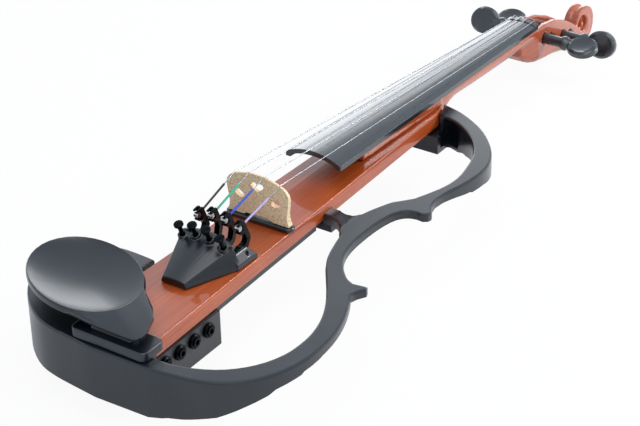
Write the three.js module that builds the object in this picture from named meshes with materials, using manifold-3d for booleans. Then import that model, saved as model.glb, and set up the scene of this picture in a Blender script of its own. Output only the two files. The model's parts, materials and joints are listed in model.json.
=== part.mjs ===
// Electric violin with a slim wooden core, an open moulded frame in the outline of half a violin,
// a chin rest on a shelf, a bridge pickup and a jack housing under the tail.
// Millimetres. X points to the treble side, Y to the scroll and Z up through the strings.
// While the parts are made, X is 0 on the centre line, Y is 0 at the bridge
// and Z is 0 on the top face of the wooden core.
import * as THREE from "three";
import { mergeVertices } from "three/addons/utils/BufferGeometryUtils.js";
import Module from "manifold-3d";

const wasm = await Module();
wasm.setup();

// Clearances that all pieces share
const GAP = 0.3;
const OVERRUN = 4;

// Main lengths, from the bridge: to the frame's neck end, to the frame's tail, and along the open string
const STOP_LENGTH = 196;
const TAIL_LENGTH = 163.5;
const STRING_LENGTH = 328;

// Wooden core
const TAIL_BAND = 22.5;
const NECK_BAND = 6;
const CORE_TAIL = TAIL_LENGTH - TAIL_BAND;
const CORE_NECK_END = STOP_LENGTH - NECK_BAND;
const CORE_THICKNESS = 10.7;
const CORE_TAIL_HALF = 28.1;
const CORE_BRIDGE_HALF = 24;
const CORE_NECK_HALF = 18.9;
const CORE_END_HALF = 16.4;
const CORE_EDGE_STEP = 2.2;
const CORE_EDGE_INSET = 1.2;
const CORE_BOTTOM_ROUND = 1.6;

// Outline frame
const LOWER_HALF = 109;
const WAIST_HALF = 61.5;
const UPPER_HALF = 84.3;
const SHELF_HALF = 87;
const FRAME_BAND = 13;
const TAIL_DEPTH = 34;
const WAIST_DEPTH = 5.5;
const NECK_DEPTH = 23.5;
const FRAME_ROUND = 1.6;
const FRAME_WALL = 3.2;
const POCKET_ROOF = 5;
const BAND_MARGIN = 20;
const TAIL_LEDGE = 8.7;
const SHELF_LENGTH = 93.5;
const SHELF_HEAD = TAIL_LENGTH - SHELF_LENGTH;
const SHELF_CENTRE_X = -55;
const SHELF_CENTRE_FROM_TAIL = 51.5;
const SHELF_CENTRE_Y = SHELF_CENTRE_FROM_TAIL - TAIL_LENGTH;
const RIB_PLACES = [41.5, 67.5];
const RIB_THICKNESS = 2.4;
const ARM_PLACE_SHARE = 0.207;
const ARM_PLACE = STOP_LENGTH * ARM_PLACE_SHARE;
const ARM_HALF = 6;
const ARM_DROP = 4.8;
const TONGUE_DEPTH = 5.5;
const NECK_BLOCK_LEFT = 12;
const NECK_BLOCK_RIGHT = 26;
const NECK_BLOCK_LENGTH = 22;

// Outer and inner edge of the frame's bouts, across and along, and how deep each pair goes
const LOWER_OUTER_SHARES = [
  [0.339, 0.994],
  [0.459, 0.985],
  [0.59, 0.97],
  [0.725, 0.94],
  [0.844, 0.881],
  [0.936, 0.789],
  [0.991, 0.673],
  [1, 0.57],
  [0.985, 0.47],
  [0.945, 0.375],
  [0.89, 0.29],
];
const LOWER_INNER_SHARES = [
  [0.33, 0.93],
  [0.44, 0.925],
  [0.56, 0.902],
  [0.693, 0.853],
  [0.803, 0.774],
  [0.867, 0.679],
  [0.883, 0.593],
  [0.876, 0.514],
  [0.839, 0.422],
  [0.775, 0.33],
  [0.688, 0.239],
];
const LOWER_DEPTH_SHARES = [1, 0.877, 0.772, 0.632, 0.404, 0.175, 0.063, 0.018, 0, 0, 0];
const WAIST_OUTER_SHARES = [
  [1.416, -0.145],
  [1.335, -0.133],
  [1.263, -0.114],
  [1.174, -0.083],
  [1.073, -0.031],
  [1.018, 0.031],
  [1, 0.112],
  [1.011, 0.204],
  [1.057, 0.27],
  [1.13, 0.3],
  [1.224, 0.31],
  [1.301, 0.308],
];
const WAIST_INNER_SHARES = [
  [1.033, -0.117],
  [0.927, -0.056],
  [0.859, 0.01],
  [0.81, 0.071],
  [0.764, 0.148],
  [0.772, 0.214],
  [0.846, 0.286],
  [0.902, 0.327],
  [0.968, 0.352],
];
const LOWER_TIP_SHARES = [
  [1.512, -0.205],
  [1.533, -0.181],
  [1.584, -0.154],
  [1.564, -0.138],
];
const UPPER_TIP_SHARES = [
  [1.348, 0.318],
  [1.359, 0.332],
  [1.34, 0.346],
  [1.294, 0.367],
];
const UPPER_OUTER_SHARES = [
  [0.924, 0.403],
  [0.932, 0.459],
  [0.968, 0.526],
  [0.994, 0.592],
  [1, 0.653],
  [0.973, 0.717],
  [0.896, 0.786],
  [0.783, 0.849],
  [0.641, 0.906],
  [0.486, 0.949],
  [0.332, 0.98],
  [0.165, 1],
];
const UPPER_INNER_SHARES = [
  [0.768, 0.385],
  [0.815, 0.437],
  [0.862, 0.5],
  [0.88, 0.57],
  [0.842, 0.668],
  [0.789, 0.742],
  [0.694, 0.806],
  [0.569, 0.86],
  [0.439, 0.898],
  [0.308, 0.918],
  [0.228, 0.916],
];
const UPPER_DEPTH_SHARES = [0, 0.04, 0.111, 0.194, 0.267, 0.389, 0.556, 0.75, 0.933, 1, 1, 1];

// Edge of the shelf under the chin rest, from the housing out and round to the tail
const SHELF_SHARES = [
  [0.575, 0.422],
  [0.805, 0.45],
  [0.954, 0.514],
  [1, 0.612],
  [0.954, 0.716],
  [0.851, 0.813],
  [0.701, 0.896],
  [0.529, 0.954],
  [0.379, 0.976],
  [0.207, 0.988],
  [0, 1],
];
const SHELF_POCKET_SHARE = 0.91;
const NECK_POCKET_SHARES = [
  [0.273, 0.878],
  [0.439, 0.867],
  [0.439, 0.94],
  [0.356, 0.957],
  [0.273, 0.969],
];

// The arm at the waist, from the core out to the frame
const ARM_ALONG_SHARES = [0, 0.215, 0.465, 0.655, 0.78, 0.94];
const ARM_TAIL_SHARES = [1, 1.33, 2, 3, 4.25, 5.1];
const ARM_HEAD_SHARES = [1, 0.5, -0.17, -0.33, 0.25, 1.58];
const ARM_DROP_SHARES = [1, 0.75, 0.375, 0.125, 0, 0];

// Jack housing and what it holds
const HOUSING_HALF = 28;
const HOUSING_LENGTH = 61;
const HOUSING_HEAD = CORE_TAIL - HOUSING_LENGTH;
const HOUSING_WALL = 2.6;
const HOUSING_ROUND = 1.5;
const STRIP_DEPTH = 6.5;
const STRIP_HEAD = 30;
const STRIP_INSET = 2.4;
const WIRE_GROOVE_X = -7;
const WIRE_GROOVE_HALF = 1.5;
const WIRE_GROOVE_DEPTH = 2;
const DOOR_THICKNESS = 2;
const DOOR_WIDTH = 30;
const DOOR_LENGTH = 57.5;
const DOOR_CENTRE_X = -9;
const DOOR_TONGUE = 1.2;
const DOOR_TONGUE_RISE = 0.9;
const DOOR_GRIP_PITCH = 4;
const DOOR_GRIP_RADIUS = 0.6;
const CELL_RADIUS = 7.1;
const CELL_LENGTH = 49;
const CELL_TIP_RADIUS = 2.6;
const CELL_TIP = 1.2;
const BOARD_THICKNESS = 1.6;
const BOARD_WIDTH = 48;
const BOARD_LENGTH = 52;
const CHIP_HEIGHT = 2.2;
const JACK_PAD = 6;
const CHIP_SHARES = [
  [-0.28, 0.3, 0.26, 0.2],
  [-0.3, 0.66, 0.18, 0.24],
  [0.02, 0.5, 0.14, 0.12],
  [0, 0.8, 0.2, 0.08],
];
const JACK_PITCH = 13.6;
const JACK_FIRST_FROM_TAIL = 47.2;
const JACK_FIRST_Y = JACK_FIRST_FROM_TAIL - CORE_TAIL;
const JACK_DROP = 17.2;
const JACK_NUT_RADIUS = 4.75;
const JACK_NUT_THICKNESS = 2.2;
const JACK_NUT_ROUND = 0.6;
const JACK_BARREL_RADIUS = 3;
const JACK_BARREL_LIP = 0.8;
const JACK_BORE_RADIUS = 1.75;
const JACK_BODY = 12;
const JACK_BODY_WIDTH = 7;
const JACK_BODY_HEIGHT = 6.4;
const CONTROL_X = 17;
const KNOB_FROM_TAIL = 43;
const SWITCH_FROM_TAIL = 15;
const CONTROL_KNOB_Y = KNOB_FROM_TAIL - CORE_TAIL;
const CONTROL_SWITCH_Y = SWITCH_FROM_TAIL - CORE_TAIL;
const CONTROL_HALF = 6;
const CONTROL_HEIGHT = 4.1;
const KNOB_RADIUS = 5.6;
const KNOB_THICKNESS = 4;
const KNOB_SHAFT_RADIUS = 2;
const KNOB_RIBS = 18;
const KNOB_RIB = 0.5;
const KNOB_BOSS = 8.4;
const KNOB_BOSS_RISE = 4;
const SWITCH_TRAVEL = 4;
const SWITCH_WIDTH = 3.4;
const SWITCH_LENGTH = 6;
const SWITCH_DISH = 1.4;
const SWITCH_DISH_HALF = 5;
const SWITCH_FLANGE = 1.2;
const SWITCH_FLANGE_HALF = 4;
const SWITCH_BODY_HEIGHT = 4.6;

// Neck, fingerboard and nut
const BOARD_LENGTH_ON_STRING = 270;
const BOARD_END = STRING_LENGTH - BOARD_LENGTH_ON_STRING;
const BOARD_END_TOP = 22.5;
const BOARD_NUT_TOP = 5.5;
const BOARD_RADIUS = 42;
const BOARD_END_HALF = 21;
const BOARD_NUT_HALF = 12;
const BOARD_SIDE = 3.6;
const BOARD_ARC_STEPS = 12;
const BOARD_HOLLOW_DEPTH = 5.6;
const BOARD_HOLLOW_MARGIN = 3.4;
const ROOT_LENGTH = 93;
const ROOT_START = CORE_NECK_END - ROOT_LENGTH;
const ROOT_START_HALF = 12.6;
const ROOT_END_HALF = 15.6;
const HEEL_DEPTH = 21;
const HEEL_HALF = 13.3;
const HEEL_LENGTH = 27;
const NECK_THICKNESS = 20.4;
const NECK_THICKNESS_NUT = 18.6;
const NUT_WIDTH = 5.4;
const NUT_RISE = 0.5;
const NECK_STATION_SHARES = [0, 0.04, 0.08, 0.12, 0.16, 0.2, 0.35, 0.6, 0.85, 1];
const NECK_SECTION_SHARES = [
  [1, 0],
  [1, 0.05],
  [0.97, 0.25],
  [0.88, 0.5],
  [0.7, 0.74],
  [0.4, 0.93],
  [0, 1],
];

// Pegbox and scroll
const PEGBOX_REACH = 94;
const PEGBOX_END = STRING_LENGTH + PEGBOX_REACH;
const PEGBOX_HALF = 12.2;
const PEGBOX_END_HALF = 6.6;
const PEGBOX_DROP = 40;
const PEGBOX_FLOOR = 5;
const CHEEK = 4.1;
const PEGBOX_ALONG_SHARES = [-0.208, -0.14, -0.072, 0.007, 0.142, 0.334, 0.526, 0.707, 0.865, 1];
const PEGBOX_TOP_SHARES = [0.19, 0.12, 0.055, 0.022, 0.024, 0.115, 0.288, 0.525, 0.787, 1];
const PEGBOX_BACK_SHARES = [0.339, 0.458, 0.518, 0.558, 0.616, 0.669, 0.76, 0.845, 0.92, 0.97];
const PEGBOX_CHIN_NARROWING = 3.6;
const PEGBOX_ROUND_SHARE = 0.3;
const PEGBOX_SLOT_SHARES = [0.34, 0.43, 0.55, 0.67, 0.78];
const SCROLL_REACH = 91;
const SCROLL_Y = STRING_LENGTH + SCROLL_REACH;
const SCROLL_DROP = 33;
const SCROLL_RADIUS = 17.2;
const SCROLL_EYE_RADIUS = 3.4;
const SCROLL_EYE_HALF = 7;
const SCROLL_BACK_HALF = 5.6;
const SCROLL_BUTTON_RADIUS = 2.4;
const SCROLL_BUTTON_HALF = 3.8;
const SCROLL_TURNS = 2.25;
const SCROLL_STEPS_PER_TURN = 20;
const SCROLL_WIDEN_POWER = 1.4;
const SCROLL_CURL_POWER = 1.7;
const SCROLL_FLUTE_DEPTH = 3.4;
const SCROLL_FLUTE_HALF = 2.9;
const SCROLL_FLUTE_STEPS = [-2, 13];
const SCROLL_WELL_INNER = 2.1;
const SCROLL_WELL_OUTER = 8.2;
const SCROLL_WELL_HALF = 1.6;
const SCROLL_WELL_BACK = 2.6;
const SCROLL_WELL_RISE = 2.2;
const SCROLL_WELL_Y = SCROLL_Y - SCROLL_WELL_BACK;
const SCROLL_WELL_DROP = SCROLL_DROP - SCROLL_WELL_RISE;

// Pegs: how far each one is past the nut, how far its head reaches out and how it is turned
const PEG_PLACES = { g: 29, d: 63, a: 49.5, e: 16.5 };
const PEG_FIRST_DROP = 12;
const PEG_LINE_SLOPE = 0.34;
const PEG_NECK_RADIUS = 4;
const PEG_TIP_RADIUS = 3.2;
const PEG_COLLAR_RADIUS = 5.4;
const PEG_COLLAR = 3;
const PEG_HEAD_RADIUS = 10.3;
const PEG_HEAD_LONG_SHARE = 1.12;
const PEG_HEAD_THICKNESS = 6.6;
const PEG_HEAD_DISH = 1.6;
const PEG_HEAD_DISH_SHARE = 0.6;
const PEG_REACHES = { g: 46, d: 42.2, a: 41.8, e: 42.5 };
const PEG_TIP_REACH = 1.2;
const PEG_TURNS = { g: -58, d: -14, a: -72, e: -16 };

// Strings: gauge, spread at the nut and at the bridge, and where each one lies on its peg
const STRING_GAUGES = [0.82, 0.72, 0.62, 0.5];
const STRING_NAMES = ["g", "d", "a", "e"];
const NUT_SPREAD = 16.4;
const BRIDGE_SPREAD = 34;
const STRING_SIDES = 6;
const WINDINGS = 2.5;
const WINDING_STEPS = 8;
const WINDING_SHARES = [-0.43, -0.32, 0.32, 0.43];

// Bridge and pickup bar
const BRIDGE_TOP = 34;
const BRIDGE_HALF = 24.5;
const BRIDGE_FOOT_THICKNESS = 4.4;
const BRIDGE_TOP_THICKNESS = 1.5;
const BRIDGE_CROWN_STEPS = 12;
const BRIDGE_SIDE_SHARES = [
  [0, 0.062],
  [0.37, 0.043],
  [0.449, 0],
  [0.93, 0],
  [0.93, 0.049],
  [0.9, 0.098],
  [0.882, 0.197],
  [0.89, 0.311],
  [0.927, 0.459],
  [0.947, 0.607],
  [0.939, 0.718],
  [0.857, 0.81],
  [0.747, 0.869],
];
const BRIDGE_HEART_SHARES = [
  [0, 0.6],
  [0.12, 0.67],
  [0.2, 0.745],
  [0.155, 0.8],
  [0.06, 0.805],
  [0, 0.765],
];
const BRIDGE_KIDNEY_SHARES = [
  [0.43, 0.4],
  [0.52, 0.375],
  [0.63, 0.4],
  [0.7, 0.47],
  [0.66, 0.54],
  [0.56, 0.545],
  [0.47, 0.5],
  [0.41, 0.45],
];
const BAR_HALF = 25;
const BAR_HEIGHT = 3.2;
const BAR_WIDTH = 8.4;
const PICKUP_EDGE = 0.6;

// Tailpiece and fine tuners
const TAILPIECE_LOW_END = 88;
const TAILPIECE_RIDGE = 53;
const TAILPIECE_LOW_HALF = 8;
const TAILPIECE_RIDGE_HALF = 19.3;
const TAILPIECE_LOW_HEIGHT = 4.3;
const TAILPIECE_LOW_CROWN = 0.9;
const TAILPIECE_EDGE_HEIGHT = 15.2;
const TAILPIECE_CROWN = 4.4;
const TAILPIECE_SKIN = 2;
const TAILPIECE_FLARE = 2.6;
const TAILPIECE_BASE_STEP = 1.2;
const TAILPIECE_SOLID_END = 17;
const TAILPIECE_ARC_STEPS = 12;
const TAILPIECE_WING_END = 34.6;
const TAILPIECE_WING_HEIGHT = 9.6;
const WING_SLOPE = 3.6;
const WING_EDGE = 3.4;
const RIDGE_RISE = 1.2;
const RIDGE_WIDTH = 2.4;
const TUNER_SPREAD = 30.4;
const TUNER_LIFT = 2.6;
const TUNER_LEAN = 20;
const TUNER_HEAD_Y = -61.5;
const TUNER_HEAD_Z = 25;
const TUNER_HEAD_RADIUS = 3.1;
const TUNER_HEAD_THICKNESS = 2;
const TUNER_HEAD_ROUND = 0.5;
const TUNER_HEAD_DISH = 0.4;
const TUNER_STEM_RADIUS = 1.45;
const TUNER_TIP_SHARE = 0.5;
const TUNER_TIP_Z = 7.6;
const TUNER_BOSS_RADIUS = 3.1;
const TUNER_BOSS_RISE = 1.6;
const LEVER_PIVOT_Y = -43;
const LEVER_PIVOT_Z = 6.2;
const LEVER_HUB_RADIUS = 2.8;
const LEVER_REACH = 12.8;
const LEVER_REAR_START = -49;
const LEVER_WIDTH = 3.8;
const LEVER_REAR_WIDTH = 2.6;
const LEVER_SLOT = 1.5;
const ROD_RADIUS = 0.95;
const HOOK_TOP_Z = 26;
const LEVER_LIFT_SHARE = 0.2;
const LEVER_SHARES = [
  [-1, 0.049],
  [-1, -0.059],
  [-0.276, -0.113],
  [0, -0.142],
  [0.293, -0.098],
  [0.586, 0.039],
  [0.75, 0.245],
  [0.69, 0.412],
  [0.319, 0.98],
  [0.207, 1],
  [-0.121, 0.965],
  [-0.095, 0.912],
  [0.138, 0.895],
  [0.241, 0.69],
  [-0.043, 0.64],
  [-0.017, 0.583],
  [0.293, 0.559],
  [0.483, 0.294],
  [0.379, 0.167],
  [0.172, 0.132],
  [0, 0.137],
  [-0.224, 0.069],
];
const BALL_FROM_PIVOT_Y = 0.1;
const BALL_FROM_PIVOT_Z = 15.3;
const BALL_RADIUS = 1.7;
const BALL_LENGTH = 3.2;
const BALL_FLANGE_SHARE = 0.7;

// Chin rest and its pad
const REST_CENTRE_X = -35.2;
const REST_CENTRE_FROM_TAIL = 39.1;
const REST_CENTRE_Y = REST_CENTRE_FROM_TAIL - TAIL_LENGTH;
const REST_LONG = 44.6;
const REST_SHORT = 30.8;
const REST_TURN = -24.6;
const REST_UNDERSIDE = 7.6;
const REST_RIM_HEIGHT = 17;
const REST_DISH_DEPTH = 7;
const REST_DISH_POWER = 0.8;
const REST_EDGE = 3.2;
const REST_FOOT_TOP = 14.2;
const REST_SLOPE = 9;
const REST_BOSS = 5;
const REST_SIDES = 50;
const REST_FLANGE_EDGE_SHARES = [
  [-0.572, -0.466],
  [-0.278, -0.624],
  [0.163, -0.755],
  [0.649, -0.78],
  [1.034, -0.778],
  [1.385, -0.774],
  [1.45, -0.752],
  [1.477, -0.7],
  [1.475, -0.63],
  [1.419, -0.489],
  [1.317, -0.249],
  [1.179, -0.09],
  [1, 0.043],
  [0.866, 0.12],
];
const REST_DISH_SHARES = [0.06, 0.3, 0.52, 0.72, 0.87, 0.96, 1];
const REST_FLANGE_SHARE = 1.025;
const REST_KEEL_SHARE = 0.78;
const PAD_HEIGHT = 6;
const PAD_LEFT = 18;
const PAD_RIGHT = 36;
const PAD_INSET = 1;
const PAD_ROUND = 4;

// Fasteners
const SCREW_RADIUS = 1.6;
const SCREW_HEAD_RADIUS = 3;
const SCREW_HEAD = 1.8;
const TAILPIECE_SCREW_SPREAD = 5;
const TAILPIECE_SCREW_INSET = 10;
const TAILPIECE_SCREW_LENGTH = 15;
const REST_SCREW_FIRST = -2;
const REST_SCREW_SECOND = 18;
const REST_SCREW_FROM_TAIL = 12.5;
const REST_SCREW_Y = REST_SCREW_FROM_TAIL - TAIL_LENGTH;
const REST_SCREW_LENGTH = 18;
const TAIL_SCREW_SPREAD = 14;
const TAIL_SCREW_SEAT = 5.6;
const TAIL_SCREW_Y = -CORE_TAIL - TAIL_SCREW_SEAT;
const TAIL_SCREW_Z = -6.6;
const TAIL_SCREW_LENGTH = 18;
const WAIST_SCREW_X = 10;
const WAIST_SCREW_LENGTH = 14;
const NECK_SCREW_X = 3;
const NECK_SCREW_FROM_END = 11;
const NECK_SCREW_Y = CORE_NECK_END - NECK_SCREW_FROM_END;
const NECK_SCREW_SEAT = 10;
const NECK_SCREW_LENGTH = 18;
const HOUSING_SCREW_FROM_HEAD = 12;
const HOUSING_SCREWS = [HOUSING_SCREW_FROM_HEAD - HOUSING_HEAD, -20, 22];
const HOUSING_SCREW_LENGTH = 14;

const QUARTER_TURN = Math.PI / 2;
const CORNER_SHARES = [0, 1 / 3, 2 / 3, 1];
const X_AXIS = new THREE.Vector3(1, 0, 0);
const Y_AXIS = new THREE.Vector3(0, 1, 0);
const Z_AXIS = new THREE.Vector3(0, 0, 1);

// Look of each material, by the name of what it is
const LOOKS = {
  varnished_wood: { color: 0xa8481c, roughness: 0.22, metalness: 0 },
  black_resin: { color: 0x2b2f34, roughness: 0.38, metalness: 0 },
  grey_plastic: { color: 0x3d3d40, roughness: 0.55, metalness: 0 },
  ebony: { color: 0x1c1c1f, roughness: 0.35, metalness: 0 },
  maple: { color: 0xd8b681, roughness: 0.5, metalness: 0 },
  black_metal: { color: 0x17181b, roughness: 0.3, metalness: 0.9 },
  nickel: { color: 0xc9cacb, roughness: 0.22, metalness: 1 },
  string_wire: { color: 0xbfc1c4, roughness: 0.3, metalness: 1 },
  circuit: { color: 0x1f5a34, roughness: 0.5, metalness: 0 },
  cell_jacket: { color: 0x8d9096, roughness: 0.35, metalness: 0.4 },
};

const violin = new THREE.Group();

function addPart(name, look, geometry) {
  const flat = geometry.index ? geometry.toNonIndexed() : geometry;
  flat.computeVertexNormals();
  const mesh = new THREE.Mesh(flat, new THREE.MeshStandardMaterial(LOOKS[look]));
  mesh.name = name;
  violin.add(mesh);
  return mesh;
}

// A closed geometry as a solid that can be joined and cut.
function solidOf(geometry) {
  const bare = geometry.clone();
  bare.deleteAttribute("normal");
  bare.deleteAttribute("uv");
  const merged = mergeVertices(bare, 1e-4);
  const vertProperties = new Float32Array(merged.attributes.position.array);
  const triVerts = new Uint32Array(merged.index.array);
  return new wasm.Manifold(new wasm.Mesh({ numProp: 3, vertProperties, triVerts }));
}

function geometryOf(solid) {
  const mesh = solid.getMesh();
  const geometry = new THREE.BufferGeometry();
  const positions = new Float32Array(mesh.vertProperties);
  geometry.setAttribute("position", new THREE.BufferAttribute(positions, 3));
  geometry.setIndex(new THREE.BufferAttribute(new Uint32Array(mesh.triVerts), 1));
  return geometry;
}

function joined(geometries) {
  return geometries.map(solidOf).reduce((all, next) => all.add(next));
}

// Skin over rings of equal point counts, closed at both ends.
function loft(rings) {
  const count = rings[0].length;
  const points = rings.flat();
  const index = [];
  const firstCap = points.length;
  const centreOf = (ring) =>
    ring.reduce((sum, p) => sum.add(p), new THREE.Vector3()).divideScalar(ring.length);
  points.push(centreOf(rings[0]), centreOf(rings[rings.length - 1]));
  for (let row = 0; row < rings.length - 1; row += 1) {
    for (let i = 0; i < count; i += 1) {
      const a = row * count + i;
      const b = row * count + ((i + 1) % count);
      index.push(a, b, a + count, b, b + count, a + count);
    }
  }
  const last = (rings.length - 1) * count;
  for (let i = 0; i < count; i += 1) {
    const next = (i + 1) % count;
    index.push(firstCap, next, i, firstCap + 1, last + i, last + next);
  }
  const geometry = new THREE.BufferGeometry();
  const flat = new Float32Array(points.flatMap((p) => [p.x, p.y, p.z]));
  geometry.setAttribute("position", new THREE.BufferAttribute(flat, 3));
  geometry.setIndex(index);
  return outward(geometry);
}

function signedVolume(flat, index) {
  const corner = (i) => new THREE.Vector3(flat[3 * i], flat[3 * i + 1], flat[3 * i + 2]);
  let volume = 0;
  for (let i = 0; i < index.length; i += 3) {
    volume += corner(index[i]).dot(corner(index[i + 1]).cross(corner(index[i + 2])));
  }
  return volume;
}

// A box between two corners.
function block(low, high) {
  const box = new THREE.BoxGeometry(high[0] - low[0], high[1] - low[1], high[2] - low[2]);
  return box.translate((low[0] + high[0]) / 2, (low[1] + high[1]) / 2, (low[2] + high[2]) / 2);
}

// A round bar from one point to another.
function bar(from, to, radius, sides = 16) {
  const start = new THREE.Vector3(...from);
  const way = new THREE.Vector3(...to).sub(start);
  const cylinder = new THREE.CylinderGeometry(radius, radius, way.length(), sides);
  cylinder.translate(0, way.length() / 2, 0);
  const turn = new THREE.Quaternion().setFromUnitVectors(Y_AXIS, way.clone().normalize());
  return cylinder.applyQuaternion(turn).translate(...from);
}

// A turned solid: the profile is [radius, distance along the axis].
function turned(profile, at, direction, sides = 20) {
  const lathe = new THREE.LatheGeometry(profile.map(([r, h]) => new THREE.Vector2(r, h)), sides);
  const turn = new THREE.Quaternion().setFromUnitVectors(Y_AXIS, direction);
  return outward(lathe.applyQuaternion(turn)).translate(...at);
}

// The same faces, turned over where they point inward.
function outward(geometry) {
  const index = Array.from(geometry.index.array);
  if (signedVolume(geometry.attributes.position.array, index) < 0) {
    for (let i = 0; i < index.length; i += 3) {
      [index[i + 1], index[i + 2]] = [index[i + 2], index[i + 1]];
    }
    geometry.setIndex(index);
  }
  return geometry;
}

function shapeOf(points) {
  return new THREE.Shape(points.map(([x, y]) => new THREE.Vector2(x, y)));
}

// A flat outline raised from one height to another.
function raised(points, bottom, top) {
  const solid = new THREE.ExtrudeGeometry(shapeOf(points), { depth: top - bottom, bevelEnabled: false });
  return solid.translate(0, 0, bottom);
}

// An outline drawn in Y and Z, with its thickness along X.
function sideways(points, left, right) {
  const solid = new THREE.ExtrudeGeometry(shapeOf(points), { depth: right - left, bevelEnabled: false });
  const turn = new THREE.Matrix4().makeBasis(Y_AXIS, Z_AXIS, X_AXIS);
  return solid.applyMatrix4(turn).translate(left, 0, 0);
}

function smooth(points, steps) {
  const places = points.map(([x, y]) => new THREE.Vector3(x, y, 0));
  const curve = new THREE.CatmullRomCurve3(places, false, "centripetal");
  return curve.getPoints((points.length - 1) * steps).map((p) => [p.x, p.y]);
}

function mix(a, b, share) {
  return a + (b - a) * share;
}

// The height of the fingerboard's underside and of its crown at a place along the neck.
function boardCrown(y) {
  return mix(BOARD_END_TOP, BOARD_NUT_TOP, (y - BOARD_END) / (STRING_LENGTH - BOARD_END));
}

function boardHalf(y) {
  return mix(BOARD_END_HALF, BOARD_NUT_HALF, (y - BOARD_END) / (STRING_LENGTH - BOARD_END));
}

function boardUnderside(y) {
  const half = boardHalf(y);
  return boardCrown(y) - (half * half) / (2 * BOARD_RADIUS) - BOARD_SIDE;
}

function coreHalf(y) {
  if (y < 0) return mix(CORE_BRIDGE_HALF, CORE_TAIL_HALF, -y / CORE_TAIL);
  const narrowing = CORE_NECK_END - (CORE_NECK_HALF - CORE_END_HALF) * 4;
  if (y < narrowing) return mix(CORE_BRIDGE_HALF, CORE_NECK_HALF, y / narrowing);
  return mix(CORE_NECK_HALF, CORE_END_HALF, (y - narrowing) / (CORE_NECK_END - narrowing));
}

// Wooden core: flat top with a stepped edge, rounded along the bottom
function coreSolid() {
  const stationShares = [0, 0.21, 0.426, 0.6, 0.8, 0.968, 1];
  const rings = stationShares.map((share) => {
    const y = mix(-CORE_TAIL, CORE_NECK_END, share);
    const half = coreHalf(y);
    const side = [
      [half - CORE_EDGE_INSET, 0],
      [half, -CORE_EDGE_STEP],
      [half, -CORE_THICKNESS + CORE_BOTTOM_ROUND],
      [half - CORE_BOTTOM_ROUND, -CORE_THICKNESS],
    ];
    const mirrored = side.map(([x, z]) => [-x, z]).reverse();
    return [...side, ...mirrored].map(([x, z]) => new THREE.Vector3(x, y, z));
  });
  return solidOf(loft(rings));
}

// Places of the screws that come up through the core from below
const TAILPIECE_SCREWS = [-1, 1].map((side) => [
  side * TAILPIECE_SCREW_SPREAD,
  -TAILPIECE_LOW_END + TAILPIECE_SCREW_INSET,
]);

function screw(at, direction, length) {
  const profile = [
    [0, 0],
    [SCREW_HEAD_RADIUS, 0],
    [SCREW_HEAD_RADIUS, SCREW_HEAD],
    [SCREW_RADIUS, SCREW_HEAD],
    [SCREW_RADIUS, length],
    [0, length],
  ];
  return turned(profile, at, direction, 12);
}

// The room that a screw needs: a hole for the shank and a wider one for the head.
function screwRoom(at, direction, length) {
  const profile = [
    [0, -OVERRUN],
    [SCREW_HEAD_RADIUS + GAP, -OVERRUN],
    [SCREW_HEAD_RADIUS + GAP, SCREW_HEAD + GAP],
    [SCREW_RADIUS + GAP, SCREW_HEAD + GAP],
    [SCREW_RADIUS + GAP, length + GAP],
    [0, length + GAP],
  ];
  return solidOf(turned(profile, at, direction, 12));
}

const CORE_UNDERSIDE = -CORE_THICKNESS;
const BASE_TOP = CORE_UNDERSIDE - GAP;
const REST_SCREW_SEAT = -POCKET_ROOF - SCREW_HEAD;
const SCREWS = {
  tailpiece_screw_1: [[...TAILPIECE_SCREWS[0], CORE_UNDERSIDE], Z_AXIS, TAILPIECE_SCREW_LENGTH],
  tailpiece_screw_2: [[...TAILPIECE_SCREWS[1], CORE_UNDERSIDE], Z_AXIS, TAILPIECE_SCREW_LENGTH],
  chin_rest_screw_1: [[REST_SCREW_FIRST, REST_SCREW_Y, REST_SCREW_SEAT], Z_AXIS, REST_SCREW_LENGTH],
  chin_rest_screw_2: [[REST_SCREW_SECOND, REST_SCREW_Y, REST_SCREW_SEAT], Z_AXIS, REST_SCREW_LENGTH],
  frame_screw_tail_1: [[-TAIL_SCREW_SPREAD, TAIL_SCREW_Y, TAIL_SCREW_Z], Y_AXIS, TAIL_SCREW_LENGTH],
  frame_screw_tail_2: [[TAIL_SCREW_SPREAD, TAIL_SCREW_Y, TAIL_SCREW_Z], Y_AXIS, TAIL_SCREW_LENGTH],
  frame_screw_waist: [[WAIST_SCREW_X, ARM_PLACE, BASE_TOP - TONGUE_DEPTH], Z_AXIS, WAIST_SCREW_LENGTH],
  frame_screw_neck: [[NECK_SCREW_X, NECK_SCREW_Y, BASE_TOP - NECK_SCREW_SEAT], Z_AXIS, NECK_SCREW_LENGTH],
  housing_screw_1: [[0, HOUSING_SCREWS[0], BASE_TOP - STRIP_DEPTH], Z_AXIS, HOUSING_SCREW_LENGTH],
  housing_screw_2: [[0, HOUSING_SCREWS[1], BASE_TOP - STRIP_DEPTH], Z_AXIS, HOUSING_SCREW_LENGTH],
  housing_screw_3: [[0, HOUSING_SCREWS[2], BASE_TOP - STRIP_DEPTH], Z_AXIS, HOUSING_SCREW_LENGTH],
};

function without(solid, cuts) {
  return cuts.reduce((left, cut) => left.subtract(cut), solid);
}

function roomsFor(start) {
  return Object.entries(SCREWS)
    .filter(([name]) => name.startsWith(start))
    .map(([, [at, direction, length]]) => screwRoom(at, direction, length));
}

function addCore() {
  const cuts = ["tailpiece", "frame_screw", "housing_screw"].flatMap(roomsFor);
  addPart("wood_body", "varnished_wood", geometryOf(without(coreSolid(), cuts)));
}

// Neck: root on the core, heel, shaft, pegbox and scroll in one piece of wood
function neckRing(y, half, top, depth) {
  const side = NECK_SECTION_SHARES.map(([across, down]) => [half * across, top - depth * down]);
  const mirrored = side.slice(0, -1).map(([x, z]) => [-x, z]).reverse();
  return [...side, ...mirrored].map(([x, z]) => new THREE.Vector3(x, y, z));
}

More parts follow.
